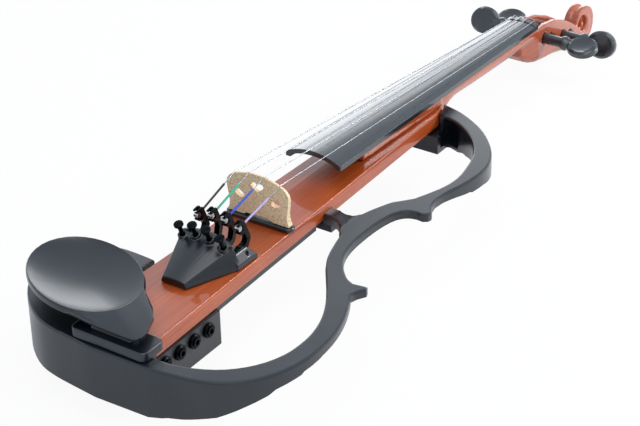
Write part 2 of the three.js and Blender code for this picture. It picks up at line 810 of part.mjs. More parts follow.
function shaftSolid() {
  const start = CORE_NECK_END + GAP;
  const rings = NECK_STATION_SHARES.map((share) => {
    const y = mix(start, STRING_LENGTH + NUT_WIDTH, share);
    const top = boardUnderside(y) - GAP;
    const plain = mix(NECK_THICKNESS, NECK_THICKNESS_NUT, share) - (boardCrown(y) - top);
    const heel = Math.max(0, 1 - (y - start) / HEEL_LENGTH);
    const depth = mix(plain, HEEL_DEPTH + top, heel * heel * (3 - 2 * heel));
    return neckRing(y, mix(HEEL_HALF, boardHalf(y), Math.min(1, share * 2)), top, depth);
  });
  return solidOf(loft(rings));
}

function rootSolid() {
  const heel = CORE_NECK_END + GAP;
  const stations = [
    [ROOT_START, ROOT_START_HALF, 0],
    [heel, ROOT_END_HALF, 0],
    [heel + HEEL_LENGTH / 4, HEEL_HALF - CORE_EDGE_INSET, CORE_EDGE_STEP],
  ];
  const rings = stations.map(([y, half, drop]) => {
    const top = boardUnderside(y) - GAP - drop;
    const corners = [
      [half, GAP],
      [half, top],
      [-half, top],
      [-half, GAP],
    ];
    return corners.map(([x, z]) => new THREE.Vector3(x, y, z));
  });
  return solidOf(loft(rings));
}

function pegboxStation(share) {
  const at = share * (PEGBOX_TOP_SHARES.length - 1);
  const i = Math.min(Math.floor(at), PEGBOX_TOP_SHARES.length - 2);
  const between = (list) => mix(list[i], list[i + 1], at - i);
  const along = between(PEGBOX_ALONG_SHARES);
  const narrowing = Math.max(along, -along * PEGBOX_CHIN_NARROWING);
  return {
    y: mix(STRING_LENGTH + NUT_WIDTH, PEGBOX_END, along),
    top: -between(PEGBOX_TOP_SHARES) * PEGBOX_DROP - GAP,
    bottom: -between(PEGBOX_BACK_SHARES) * (SCROLL_DROP + SCROLL_RADIUS),
    half: mix(PEGBOX_HALF, PEGBOX_END_HALF, narrowing),
  };
}

function pegboxSolid() {
  const count = PEGBOX_TOP_SHARES.length;
  const rings = PEGBOX_TOP_SHARES.map((_, i) => {
    const { y, top, bottom, half } = pegboxStation(i / (count - 1));
    const round = half * PEGBOX_ROUND_SHARE;
    const corners = [
      [half, top],
      [half, bottom + round],
      [half - round, bottom],
      [-half + round, bottom],
      [-half, bottom + round],
      [-half, top],
    ];
    return corners.map(([x, z]) => new THREE.Vector3(x, y, z));
  });
  return solidOf(loft(rings));
}

// The slot between the cheeks, open to the top
function pegboxSlot() {
  const rings = PEGBOX_SLOT_SHARES.map((share) => {
    const { y, top, bottom, half } = pegboxStation(share);
    const inner = half - CHEEK;
    const floor = bottom + PEGBOX_FLOOR;
    const corners = [
      [inner, top + OVERRUN * 3],
      [inner, floor],
      [-inner, floor],
      [-inner, top + OVERRUN * 3],
    ];
    return corners.map(([x, z]) => new THREE.Vector3(x, y, z));
  });
  return solidOf(loft(rings));
}

// The scroll's outline as it winds inward, by its steps from the back
function scrollRim(step) {
  const share = Math.max(0, step / (SCROLL_TURNS * SCROLL_STEPS_PER_TURN));
  const angle = -Math.PI / 2 + (step / SCROLL_STEPS_PER_TURN) * 2 * Math.PI;
  const radius = SCROLL_RADIUS * (SCROLL_EYE_RADIUS / SCROLL_RADIUS) ** (share ** SCROLL_CURL_POWER);
  return { share, angle, radius };
}

function onScroll(x, angle, radius) {
  return new THREE.Vector3(x, SCROLL_Y + radius * Math.cos(angle), -SCROLL_DROP + radius * Math.sin(angle));
}

// The scroll grows wider toward its eye, one wedge at a time.
function scrollSolid() {
  const steps = Math.round(SCROLL_TURNS * SCROLL_STEPS_PER_TURN);
  const rim = (step, side) => {
    const { share, angle, radius } = scrollRim(step);
    const half = mix(SCROLL_BACK_HALF, SCROLL_EYE_HALF, share ** SCROLL_WIDEN_POWER);
    return onScroll(side * half, angle, radius);
  };
  const middle = (side) => new THREE.Vector3(side * SCROLL_BACK_HALF, SCROLL_Y, -SCROLL_DROP);
  const wedges = Array.from({ length: steps }, (_, step) => {
    const ring = (side) => [middle(side), rim(step, side), rim(step + 1, side)];
    return loft([ring(-1), ring(1)]);
  });
  return joined(wedges);
}

// The flute that runs over the scroll between its two edges, and the wells around the eyes
function scrollCuts() {
  const [first, last] = SCROLL_FLUTE_STEPS;
  const rings = Array.from({ length: last - first + 1 }, (_, i) => {
    const { angle, radius } = scrollRim(first + i);
    const fade = Math.sin((Math.PI * (i + 1)) / (last - first + 2));
    return [
      onScroll(-SCROLL_FLUTE_HALF, angle, radius + OVERRUN / 4),
      onScroll(SCROLL_FLUTE_HALF, angle, radius + OVERRUN / 4),
      onScroll(0, angle, radius - SCROLL_FLUTE_DEPTH * fade),
    ];
  });
  const well = (side) => {
    const profile = [
      [SCROLL_WELL_INNER, SCROLL_WELL_HALF],
      [SCROLL_WELL_OUTER - SCROLL_WELL_HALF, SCROLL_WELL_HALF],
      [SCROLL_WELL_OUTER, SCROLL_EYE_HALF + OVERRUN],
      [SCROLL_WELL_INNER, SCROLL_EYE_HALF + OVERRUN],
      [SCROLL_WELL_INNER, SCROLL_WELL_HALF],
    ];
    return turned(profile, [0, SCROLL_WELL_Y, -SCROLL_WELL_DROP], X_AXIS.clone().multiplyScalar(side), 24);
  };
  return [loft(rings), well(1), well(-1)].map(solidOf);
}

// The round eyes at the middle of the scroll
function eyeSolid() {
  const at = (x) => [x, SCROLL_WELL_Y, -SCROLL_WELL_DROP];
  return solidOf(bar(at(-SCROLL_BUTTON_HALF), at(SCROLL_BUTTON_HALF), SCROLL_BUTTON_RADIUS, 16));
}

// Pegs, by the string that each one winds, with the side that its head is on
const PEGS = [
  { name: "g", side: -1, y: STRING_LENGTH + PEG_PLACES.g },
  { name: "d", side: -1, y: STRING_LENGTH + PEG_PLACES.d },
  { name: "a", side: 1, y: STRING_LENGTH + PEG_PLACES.a },
  { name: "e", side: 1, y: STRING_LENGTH + PEG_PLACES.e },
];

function pegHeight(y) {
  return -PEG_FIRST_DROP - (y - STRING_LENGTH - PEG_PLACES.e) * PEG_LINE_SLOPE;
}

function cheekHalf(y) {
  const start = STRING_LENGTH + NUT_WIDTH;
  return mix(PEGBOX_HALF, PEGBOX_END_HALF, (y - start) / (PEGBOX_END - start));
}

function addNeck() {
  const scroll = without(scrollSolid(), scrollCuts()).add(eyeSolid());
  const wood = rootSolid().add(shaftSolid()).add(pegboxSolid()).add(scroll);
  const holes = PEGS.map(({ side, y }) => {
    const z = pegHeight(y);
    const reach = cheekHalf(y) + OVERRUN;
    const from = [side * reach, y, z];
    const taper = turned(
      [
        [0, 0],
        [PEG_NECK_RADIUS + GAP, 0],
        [PEG_TIP_RADIUS + GAP, 2 * reach],
        [0, 2 * reach],
      ],
      from,
      X_AXIS.clone().multiplyScalar(-side),
      16,
    );
    return solidOf(taper);
  });
  addPart("neck", "varnished_wood", geometryOf(without(wood, [pegboxSlot(), ...holes])));
}

function addFingerboard() {
  const ring = (y) => {
    const half = boardHalf(y);
    const crown = boardCrown(y);
    const points = [];
    for (let i = 0; i <= BOARD_ARC_STEPS; i += 1) {
      const x = mix(-half, half, i / BOARD_ARC_STEPS);
      points.push(new THREE.Vector3(x, y, crown - (x * x) / (2 * BOARD_RADIUS)));
    }
    points.push(new THREE.Vector3(half, y, boardUnderside(y)));
    points.push(new THREE.Vector3(-half, y, boardUnderside(y)));
    return points;
  };
  const board = solidOf(loft([ring(BOARD_END), ring(STRING_LENGTH - GAP)]));
  const hollowRing = (y) => {
    const half = boardHalf(y) - BOARD_HOLLOW_MARGIN;
    const points = [];
    for (let i = 0; i <= BOARD_ARC_STEPS; i += 1) {
      const angle = (i / BOARD_ARC_STEPS) * Math.PI;
      const rise = BOARD_HOLLOW_DEPTH * Math.sin(angle);
      points.push(new THREE.Vector3(-half * Math.cos(angle), y, boardUnderside(y) - GAP + rise));
    }
    points.push(new THREE.Vector3(half, y, boardUnderside(y) - OVERRUN));
    points.push(new THREE.Vector3(-half, y, boardUnderside(y) - OVERRUN));
    return points;
  };
  const hollow = solidOf(loft([hollowRing(BOARD_END - OVERRUN), hollowRing(ROOT_START - GAP)]));
  addPart("fingerboard", "ebony", geometryOf(board.subtract(hollow)));
}

function stringAtNut(i) {
  return mix(-NUT_SPREAD / 2, NUT_SPREAD / 2, i / 3);
}

function stringAtBridge(i) {
  return mix(-BRIDGE_SPREAD / 2, BRIDGE_SPREAD / 2, i / 3);
}

function tunerPlace(i) {
  return mix(-TUNER_SPREAD / 2, TUNER_SPREAD / 2, i / 3);
}

// The two inner tuners stand higher than the two outer ones.
function tunerLift(i) {
  return i === 1 || i === 2 ? TUNER_LIFT : 0;
}

function nutCrown(x) {
  return BOARD_NUT_TOP + NUT_RISE - (x * x) / (2 * BOARD_RADIUS);
}

function bridgeCrown(x) {
  return BRIDGE_TOP - (x * x) / (2 * BOARD_RADIUS);
}

function addNut() {
  const half = BOARD_NUT_HALF;
  const outline = [];
  for (let i = 0; i <= BOARD_ARC_STEPS; i += 1) {
    const x = mix(half, -half, i / BOARD_ARC_STEPS);
    outline.push([x, nutCrown(x)]);
  }
  outline.push([-half, boardUnderside(STRING_LENGTH)], [half, boardUnderside(STRING_LENGTH)]);
  addPart("nut", "ebony", across(outline, STRING_LENGTH, STRING_LENGTH + NUT_WIDTH - GAP));
}

// An outline drawn in X and Z, with its thickness along Y.
function across(points, near, far, holes = []) {
  const shape = shapeOf(points);
  shape.holes = holes.map(shapeOf);
  const solid = new THREE.ExtrudeGeometry(shape, { depth: far - near, bevelEnabled: false });
  const turn = new THREE.Matrix4().makeBasis(X_AXIS, Z_AXIS, Y_AXIS.clone().negate());
  return solid.applyMatrix4(turn).translate(0, far, 0);
}

function addBridge() {
  const base = BAR_HEIGHT + GAP;
  const lift = ([x, z]) => [x * BRIDGE_HALF, mix(base, BRIDGE_TOP, z)];
  const half = BRIDGE_SIDE_SHARES.map(lift);
  const crownEnd = half[half.length - 1][0];
  const crown = [];
  for (let i = 0; i <= BRIDGE_CROWN_STEPS; i += 1) {
    const x = mix(crownEnd, -crownEnd, i / BRIDGE_CROWN_STEPS);
    crown.push([x, bridgeCrown(x)]);
  }
  const left = half.map(([x, z]) => [-x, z]).reverse();
  const outline = [...half.slice(0, -1), ...crown, ...left.slice(1, -1)];
  const heartHalf = BRIDGE_HEART_SHARES.map(lift);
  const heart = [...heartHalf, ...heartHalf.slice(1, -1).map(([x, z]) => [-x, z]).reverse()];
  const kidney = BRIDGE_KIDNEY_SHARES.map(lift);
  const holes = [heart, kidney, kidney.map(([x, z]) => [-x, z]).reverse()];
  const plate = across(outline, -BRIDGE_FOOT_THICKNESS / 2, BRIDGE_FOOT_THICKNESS / 2, holes);
  const places = plate.attributes.position;
  for (let i = 0; i < places.count; i += 1) {
    const rise = (places.getZ(i) - BAR_HEIGHT) / (BRIDGE_TOP - BAR_HEIGHT);
    const thin = mix(1, BRIDGE_TOP_THICKNESS / BRIDGE_FOOT_THICKNESS, Math.max(0, rise));
    places.setY(i, -BRIDGE_FOOT_THICKNESS / 2 + (places.getY(i) + BRIDGE_FOOT_THICKNESS / 2) * thin);
  }
  addPart("bridge", "maple", geometryOf(solidOf(plate)));
}

function stadium(halfLength, halfWidth, steps = 8) {
  const points = [];
  for (let i = 0; i <= steps; i += 1) {
    const angle = -Math.PI / 2 + (i / steps) * Math.PI;
    points.push([halfLength - halfWidth + halfWidth * Math.cos(angle), halfWidth * Math.sin(angle)]);
  }
  return [...points, ...points.map(([x, y]) => [-x, -y])];
}

function addPickupBar() {
  const edge = PICKUP_EDGE;
  const outline = stadium(BAR_HALF, BAR_WIDTH / 2);
  const solid = new THREE.ExtrudeGeometry(shapeOf(outline), {
    depth: BAR_HEIGHT - GAP - 2 * edge,
    bevelThickness: edge,
    bevelSize: edge,
    bevelOffset: -edge,
    bevelSegments: 1,
  });
  addPart("pickup_bar", "black_resin", geometryOf(solidOf(solid.translate(0, 0, GAP + edge))));
}

// Outline frame
const lowerPoint = ([x, y]) => [x * LOWER_HALF, -y * TAIL_LENGTH];
const waistPoint = ([x, y]) => [x * WAIST_HALF, y * STOP_LENGTH];
const upperPoint = ([x, y]) => [x * UPPER_HALF, y * STOP_LENGTH];
const LOWER_OUTER = LOWER_OUTER_SHARES.map(lowerPoint);
const LOWER_INNER = LOWER_INNER_SHARES.map(lowerPoint);
const WAIST_OUTER = WAIST_OUTER_SHARES.map(waistPoint);
const WAIST_INNER = WAIST_INNER_SHARES.map(waistPoint);
const UPPER_OUTER = UPPER_OUTER_SHARES.map(upperPoint);
const UPPER_INNER = UPPER_INNER_SHARES.map(upperPoint);
const HOUSING_EDGE = HOUSING_HALF + GAP;
const SHELF_OUTER = [
  [-HOUSING_EDGE, -SHELF_HEAD],
  ...SHELF_SHARES.map(([x, y]) => [-x * SHELF_HALF, -y * TAIL_LENGTH]),
];
const TAIL_EDGE = -CORE_TAIL - GAP;

// The frame's plan: out along the outer edge from the shelf to the neck, and back along the inner edge.
function framePlan() {
  const lowerTip = LOWER_TIP_SHARES.map(waistPoint);
  const upperTip = UPPER_TIP_SHARES.map(waistPoint);
  const outer = [
    ...smooth(SHELF_OUTER, 3),
    ...smooth([...LOWER_OUTER, lowerTip[0]], 3),
    ...lowerTip.slice(1),
    ...smooth(WAIST_OUTER, 3),
    ...upperTip,
    ...smooth(UPPER_OUTER, 3),
  ];
  const inner = [
    [CORE_END_HALF + GAP, CORE_NECK_END + GAP],
    ...smooth([...UPPER_INNER].reverse(), 3),
    ...smooth([...WAIST_INNER].reverse(), 3),
    ...smooth([...LOWER_INNER].reverse(), 3),
    [HOUSING_EDGE, TAIL_EDGE - TAIL_LEDGE],
    [HOUSING_EDGE, TAIL_EDGE],
    [-HOUSING_EDGE, TAIL_EDGE],
  ];
  return [...outer, ...inner];
}

// How deep the frame hangs: a wide band below the plan, deep at the tail and at the neck.
function depthBand() {
  const lower = LOWER_OUTER.map((p, i) => [
    p,
    LOWER_INNER[i],
    mix(WAIST_DEPTH, TAIL_DEPTH, LOWER_DEPTH_SHARES[i]),
  ]);
  const upper = UPPER_OUTER.map((p, i) => [
    p,
    UPPER_INNER[i] ?? [CORE_END_HALF, CORE_NECK_END],
    mix(WAIST_DEPTH, NECK_DEPTH, UPPER_DEPTH_SHARES[i]),
  ]);
  const ring = ([outer, inner, depth]) => {
    const way = new THREE.Vector3(outer[0] - inner[0], outer[1] - inner[1], 0);
    way.setLength(BAND_MARGIN);
    const out = new THREE.Vector3(...outer, 0).add(way);
    const back = new THREE.Vector3(...inner, 0).sub(way);
    return [
      new THREE.Vector3(out.x, out.y, OVERRUN),
      new THREE.Vector3(out.x, out.y, -depth),
      new THREE.Vector3(back.x, back.y, -depth),
      new THREE.Vector3(back.x, back.y, OVERRUN),
    ];
  };
  const tail = block(
    [-SHELF_HALF - OVERRUN, -TAIL_LENGTH - OVERRUN, -TAIL_DEPTH],
    [LOWER_OUTER[0][0] + GAP, -HOUSING_HEAD + BAND_MARGIN, OVERRUN],
  );
  const waist = block(
    [0, LOWER_OUTER[LOWER_OUTER.length - 1][1] - OVERRUN, -WAIST_DEPTH],
    [LOWER_HALF + BAND_MARGIN, UPPER_OUTER[0][1] + GAP, OVERRUN],
  );
  return joined([loft(lower.map(ring)), loft(upper.map(ring)), tail, waist]);
}

// The open pockets that are moulded into the underside of the shelf and of the tail
function framePockets() {
  const shelfInner = smooth(SHELF_OUTER, 3).map(([x, y]) => [
    mix(SHELF_CENTRE_X, x, SHELF_POCKET_SHARE),
    mix(SHELF_CENTRE_Y, y, SHELF_POCKET_SHARE),
  ]);
  const wall = -HOUSING_EDGE - FRAME_WALL;
  const shelf = solidOf(raised(shelfInner, -TAIL_DEPTH - OVERRUN, -POCKET_ROOF));
  const keep = solidOf(block([-SHELF_HALF, -TAIL_LENGTH, -TAIL_DEPTH * 2], [wall, 0, 0]));
  const rib = (fromTail) => {
    const y = fromTail - TAIL_LENGTH;
    return solidOf(block([-SHELF_HALF, y, -TAIL_DEPTH * 2], [wall + OVERRUN, y + RIB_THICKNESS, 0]));
  };
  const ribs = RIB_PLACES.map(rib).reduce((all, next) => all.add(next));
  const tail = block(
    [-HOUSING_HALF, -TAIL_LENGTH + FRAME_WALL + FRAME_ROUND, -TAIL_DEPTH - OVERRUN],
    [HOUSING_HALF, TAIL_EDGE - FRAME_WALL, -POCKET_ROOF],
  );
  const neckPocket = raised(NECK_POCKET_SHARES.map(upperPoint), -NECK_DEPTH + FRAME_WALL, -FRAME_WALL);
  return [shelf.intersect(keep).subtract(ribs), solidOf(tail), solidOf(neckPocket)];
}

// The arm at the waist comes down to the underside of the core and reaches under it.
function waistArm() {
  const rings = ARM_ALONG_SHARES.map((share, i) => {
    const x = mix(coreHalf(ARM_PLACE) + GAP, WAIST_HALF - FRAME_BAND / 2, share);
    const top = -ARM_DROP * ARM_DROP_SHARES[i];
    const bottom = mix(CORE_UNDERSIDE - GAP, -WAIST_DEPTH, share);
    const low = ARM_PLACE - ARM_HALF * ARM_TAIL_SHARES[i];
    const high = ARM_PLACE + ARM_HALF * ARM_HEAD_SHARES[i];
    const corners = [
      [low, bottom],
      [high, bottom],
      [high, top - FRAME_ROUND],
      [high - FRAME_ROUND, top],
      [low + FRAME_ROUND, top],
      [low, top - FRAME_ROUND],
    ];
    return corners.map(([y, z]) => new THREE.Vector3(x, y, z));
  });
  const root = coreHalf(ARM_PLACE);
  const tongueTop = BASE_TOP;
  const tongue = block(
    [WAIST_SCREW_X - ARM_HALF, ARM_PLACE - ARM_HALF + GAP, tongueTop - TONGUE_DEPTH],
    [root + ARM_HALF, ARM_PLACE + ARM_HALF - GAP, tongueTop],
  );
  const shoulder = block(
    [root + GAP, ARM_PLACE - ARM_HALF + GAP, tongueTop - TONGUE_DEPTH],
    [root + ARM_HALF, ARM_PLACE + ARM_HALF - GAP, -ARM_DROP - FRAME_ROUND],
  );
  return joined([loft(rings), tongue, shoulder]);
}

function addFrame() {
  const plan = framePlan();
  const deep = new THREE.ExtrudeGeometry(shapeOf(plan), {
    depth: TAIL_DEPTH,
    bevelThickness: FRAME_ROUND,
    bevelSize: FRAME_ROUND,
    bevelOffset: -FRAME_ROUND,
    bevelSegments: 2,
  });
  deep.translate(0, 0, -TAIL_DEPTH - FRAME_ROUND);
  const neckBlock = block(
    [-NECK_BLOCK_LEFT, CORE_NECK_END - NECK_BLOCK_LENGTH, -NECK_DEPTH],
    [NECK_BLOCK_RIGHT, CORE_NECK_END - GAP, BASE_TOP],
  );
  const body = solidOf(deep).intersect(depthBand());
  const whole = body.add(waistArm()).add(solidOf(neckBlock));
  const cuts = [...framePockets(), ...roomsFor("frame_screw"), ...roomsFor("chin_rest_screw")];
  addPart("outline_frame", "black_resin", geometryOf(without(whole, cuts)));
}

// A rectangle with round corners
function roundedPlan(left, right, near, far, radius) {
  const corners = [
    [right - radius, near + radius, -QUARTER_TURN],
    [right - radius, far - radius, 0],
    [left + radius, far - radius, QUARTER_TURN],
    [left + radius, near + radius, 2 * QUARTER_TURN],
  ];
  return corners.flatMap(([x, y, start]) =>
    CORNER_SHARES.map((share) => {
      const angle = start + share * QUARTER_TURN;
      return [x + radius * Math.cos(angle), y + radius * Math.sin(angle)];
    }),
  );
}

// Jack housing under the tail, with the strip that goes on under the core
const HOUSING_FLOOR = -TAIL_DEPTH;
const FLOOR_TOP = HOUSING_FLOOR + HOUSING_WALL;
const DOOR_HEAD = -HOUSING_HEAD;
const JACK_X = HOUSING_HALF;

function jackY(i) {
  return JACK_FIRST_Y - i * JACK_PITCH;
}

function stripSolid() {
  const rings = [-HOUSING_HEAD - HOUSING_WALL, 0, STRIP_HEAD].map((y) => {
    const half = coreHalf(y) - STRIP_INSET;
    const corners = [
      [half, BASE_TOP],
      [half, BASE_TOP - STRIP_DEPTH + STRIP_INSET],
      [half - STRIP_INSET, BASE_TOP - STRIP_DEPTH],
      [-half + STRIP_INSET, BASE_TOP - STRIP_DEPTH],
      [-half, BASE_TOP - STRIP_DEPTH + STRIP_INSET],
      [-half, BASE_TOP],
    ];
    return corners.map(([x, z]) => new THREE.Vector3(x, y, z));
  });
  return solidOf(loft(rings));
}

function addHousing() {
  const plan = roundedPlan(-HOUSING_HALF, HOUSING_HALF, -CORE_TAIL, -HOUSING_HEAD, HOUSING_ROUND);
  const shell = solidOf(raised(plan, HOUSING_FLOOR, BASE_TOP));
  const inside = block(
    [-HOUSING_HALF + HOUSING_WALL, -CORE_TAIL + HOUSING_WALL, FLOOR_TOP],
    [HOUSING_HALF - HOUSING_WALL, -HOUSING_HEAD - HOUSING_WALL, BASE_TOP + OVERRUN],
  );
  const knobBoss = block(
    [CONTROL_X - KNOB_BOSS, CONTROL_KNOB_Y - KNOB_BOSS, HOUSING_FLOOR],
    [HOUSING_HALF - GAP, CONTROL_KNOB_Y + KNOB_BOSS, FLOOR_TOP + KNOB_BOSS_RISE],
  );
  const wireGroove = block(
    [WIRE_GROOVE_X - WIRE_GROOVE_HALF, -HOUSING_HEAD - HOUSING_WALL * 2, BASE_TOP - WIRE_GROOVE_DEPTH],
    [WIRE_GROOVE_X + WIRE_GROOVE_HALF, -BAR_WIDTH, BASE_TOP + OVERRUN],
  );
  const doorHalf = DOOR_WIDTH / 2;
  const doorHole = block(
    [DOOR_CENTRE_X - doorHalf - GAP, DOOR_HEAD - DOOR_LENGTH - GAP, HOUSING_FLOOR - OVERRUN],
    [DOOR_CENTRE_X + doorHalf + GAP, DOOR_HEAD + OVERRUN, FLOOR_TOP],
  );
  const tongueHalf = doorHalf + DOOR_TONGUE + GAP;
  const doorGroove = block(
    [DOOR_CENTRE_X - tongueHalf, DOOR_HEAD - DOOR_LENGTH - GAP, HOUSING_FLOOR + DOOR_TONGUE_RISE - GAP],
    [DOOR_CENTRE_X + tongueHalf, DOOR_HEAD + OVERRUN, FLOOR_TOP - DOOR_TONGUE_RISE + GAP],
  );
  const knobRecess = bar(
    [CONTROL_X, CONTROL_KNOB_Y, HOUSING_FLOOR - OVERRUN],
    [CONTROL_X, CONTROL_KNOB_Y, HOUSING_FLOOR + KNOB_THICKNESS + 3 * GAP],
    KNOB_RADIUS + KNOB_RIB + 2 * GAP,
    32,
  );
  const knobHole = bar(
    [CONTROL_X, CONTROL_KNOB_Y, HOUSING_FLOOR],
    [CONTROL_X, CONTROL_KNOB_Y, FLOOR_TOP + KNOB_BOSS_RISE + OVERRUN],
    KNOB_SHAFT_RADIUS + GAP,
  );
  const switchNear = CONTROL_SWITCH_Y - SWITCH_LENGTH / 2;
  const switchFar = CONTROL_SWITCH_Y + SWITCH_LENGTH / 2 + SWITCH_TRAVEL;
  const switchSlot = block(
    [CONTROL_X - SWITCH_WIDTH / 2 - GAP, switchNear - GAP, HOUSING_FLOOR - OVERRUN],
    [CONTROL_X + SWITCH_WIDTH / 2 + GAP, switchFar + GAP, FLOOR_TOP + OVERRUN],
  );
  const switchDish = block(
    [CONTROL_X - SWITCH_DISH_HALF, switchNear - SWITCH_TRAVEL / 2, HOUSING_FLOOR - OVERRUN],
    [CONTROL_X + SWITCH_DISH_HALF, switchFar + SWITCH_TRAVEL / 2, HOUSING_FLOOR + SWITCH_DISH],
  );
  const jackHoles = [0, 1, 2, 3].map((i) =>
    bar(
      [JACK_X - HOUSING_WALL - OVERRUN, jackY(i), -JACK_DROP],
      [JACK_X + OVERRUN, jackY(i), -JACK_DROP],
      JACK_BARREL_RADIUS + GAP,
    ),
  );
  const walls = shell.subtract(solidOf(inside)).add(solidOf(knobBoss)).add(stripSolid());
  const cuts = [wireGroove, doorHole, doorGroove, knobRecess, knobHole, switchSlot, switchDish, ...jackHoles];
  const whole = without(walls, [...cuts.map(solidOf), ...roomsFor("housing_screw")]);
  addPart("jack_housing", "grey_plastic", geometryOf(whole));
}

function addBatteryDoor() {
  const half = DOOR_WIDTH / 2;
  const near = DOOR_HEAD - DOOR_LENGTH;
  const plate = block(
    [DOOR_CENTRE_X - half, near, HOUSING_FLOOR],
    [DOOR_CENTRE_X + half, DOOR_HEAD, HOUSING_FLOOR + DOOR_THICKNESS],
  );
  const tongues = block(
    [DOOR_CENTRE_X - half - DOOR_TONGUE, near, HOUSING_FLOOR + DOOR_TONGUE_RISE],
    [DOOR_CENTRE_X + half + DOOR_TONGUE, DOOR_HEAD - HOUSING_ROUND, FLOOR_TOP - DOOR_TONGUE_RISE],
  );
  const grips = [0, 1, 2].map((i) => {
    const y = DOOR_HEAD - DOOR_GRIP_PITCH * (i + 2);
    return bar(
      [DOOR_CENTRE_X - half / 2, y, HOUSING_FLOOR],
      [DOOR_CENTRE_X + half / 2, y, HOUSING_FLOOR],
      DOOR_GRIP_RADIUS,
      8,
    );
  });
  addPart("battery_door", "grey_plastic", geometryOf(without(joined([plate, tongues]), grips.map(solidOf))));
}

function addElectronics() {
  [-1, 1].forEach((side, i) => {
    const x = DOOR_CENTRE_X + side * (CELL_RADIUS + GAP / 2);
    const z = FLOOR_TOP + CELL_RADIUS + GAP;
    const start = -CORE_TAIL + HOUSING_WALL + 2 * GAP;
    const profile = [
      [0, 0],
      [CELL_RADIUS, 0],
      [CELL_RADIUS, CELL_LENGTH],
      [CELL_TIP_RADIUS, CELL_LENGTH],
      [CELL_TIP_RADIUS, CELL_LENGTH + CELL_TIP],
      [0, CELL_LENGTH + CELL_TIP],
    ];
    addPart(`battery_${i + 1}`, "cell_jacket", turned(profile, [x, start, z], Y_AXIS, 24));
  });
  const near = -CORE_TAIL + HOUSING_WALL + GAP;
  const plate = block(
    [-BOARD_WIDTH / 2, near, BASE_TOP - BOARD_THICKNESS],
    [BOARD_WIDTH / 2, near + BOARD_LENGTH, BASE_TOP],
  );
  const jackPads = [0, 1, 2, 3].map((i) =>
    block(
      [BOARD_WIDTH / 2 - JACK_PAD, jackY(i) - JACK_PAD / 2, -JACK_DROP + JACK_BODY_HEIGHT / 2 + GAP],
      [BOARD_WIDTH / 2, jackY(i) + JACK_PAD / 2, BASE_TOP - BOARD_THICKNESS / 2],
    ),
  );
  const chips = CHIP_SHARES.map(([x, y, wide, long]) => {
    const cx = x * BOARD_WIDTH;
    const cy = near + y * BOARD_LENGTH;
    const halfWide = (wide * BOARD_WIDTH) / 2;
    const halfLong = (long * BOARD_LENGTH) / 2;
    return block(
      [cx - halfWide, cy - halfLong, BASE_TOP - BOARD_THICKNESS - CHIP_HEIGHT],
      [cx + halfWide, cy + halfLong, BASE_TOP - BOARD_THICKNESS / 2],
    );
  });
  addPart("circuit_board", "circuit", geometryOf(joined([plate, ...jackPads, ...chips])));
}

function addJacks() {
  for (let i = 0; i < 4; i += 1) {
    const y = jackY(i);
    const z = -JACK_DROP;
    const body = block(
      [JACK_X - HOUSING_WALL - GAP - JACK_BODY, y - JACK_BODY_WIDTH / 2, z - JACK_BODY_HEIGHT / 2],
      [JACK_X - HOUSING_WALL - GAP, y + JACK_BODY_WIDTH / 2, z + JACK_BODY_HEIGHT / 2],
    );
    const face = JACK_X + GAP + JACK_NUT_THICKNESS + JACK_BARREL_LIP;
    const barrel = bar([JACK_X - JACK_BODY, y, z], [face, y, z], JACK_BARREL_RADIUS);
    const bore = bar([JACK_X - JACK_BODY, y, z], [face + OVERRUN, y, z], JACK_BORE_RADIUS, 12);
    const socket = joined([body, barrel]).subtract(solidOf(bore));
    addPart(`jack_socket_${i + 1}`, "black_metal", geometryOf(socket));
    const inner = JACK_BARREL_RADIUS + GAP;
    const ring = [
      [inner, 0],
      [JACK_NUT_RADIUS, 0],
      [JACK_NUT_RADIUS, JACK_NUT_THICKNESS - JACK_NUT_ROUND],
      [JACK_NUT_RADIUS - JACK_NUT_ROUND, JACK_NUT_THICKNESS],
      [inner, JACK_NUT_THICKNESS],
      [inner, 0],
    ];
    addPart(`jack_nut_${i + 1}`, "black_metal", turned(ring, [JACK_X + GAP, y, z], X_AXIS, 24));
  }
}

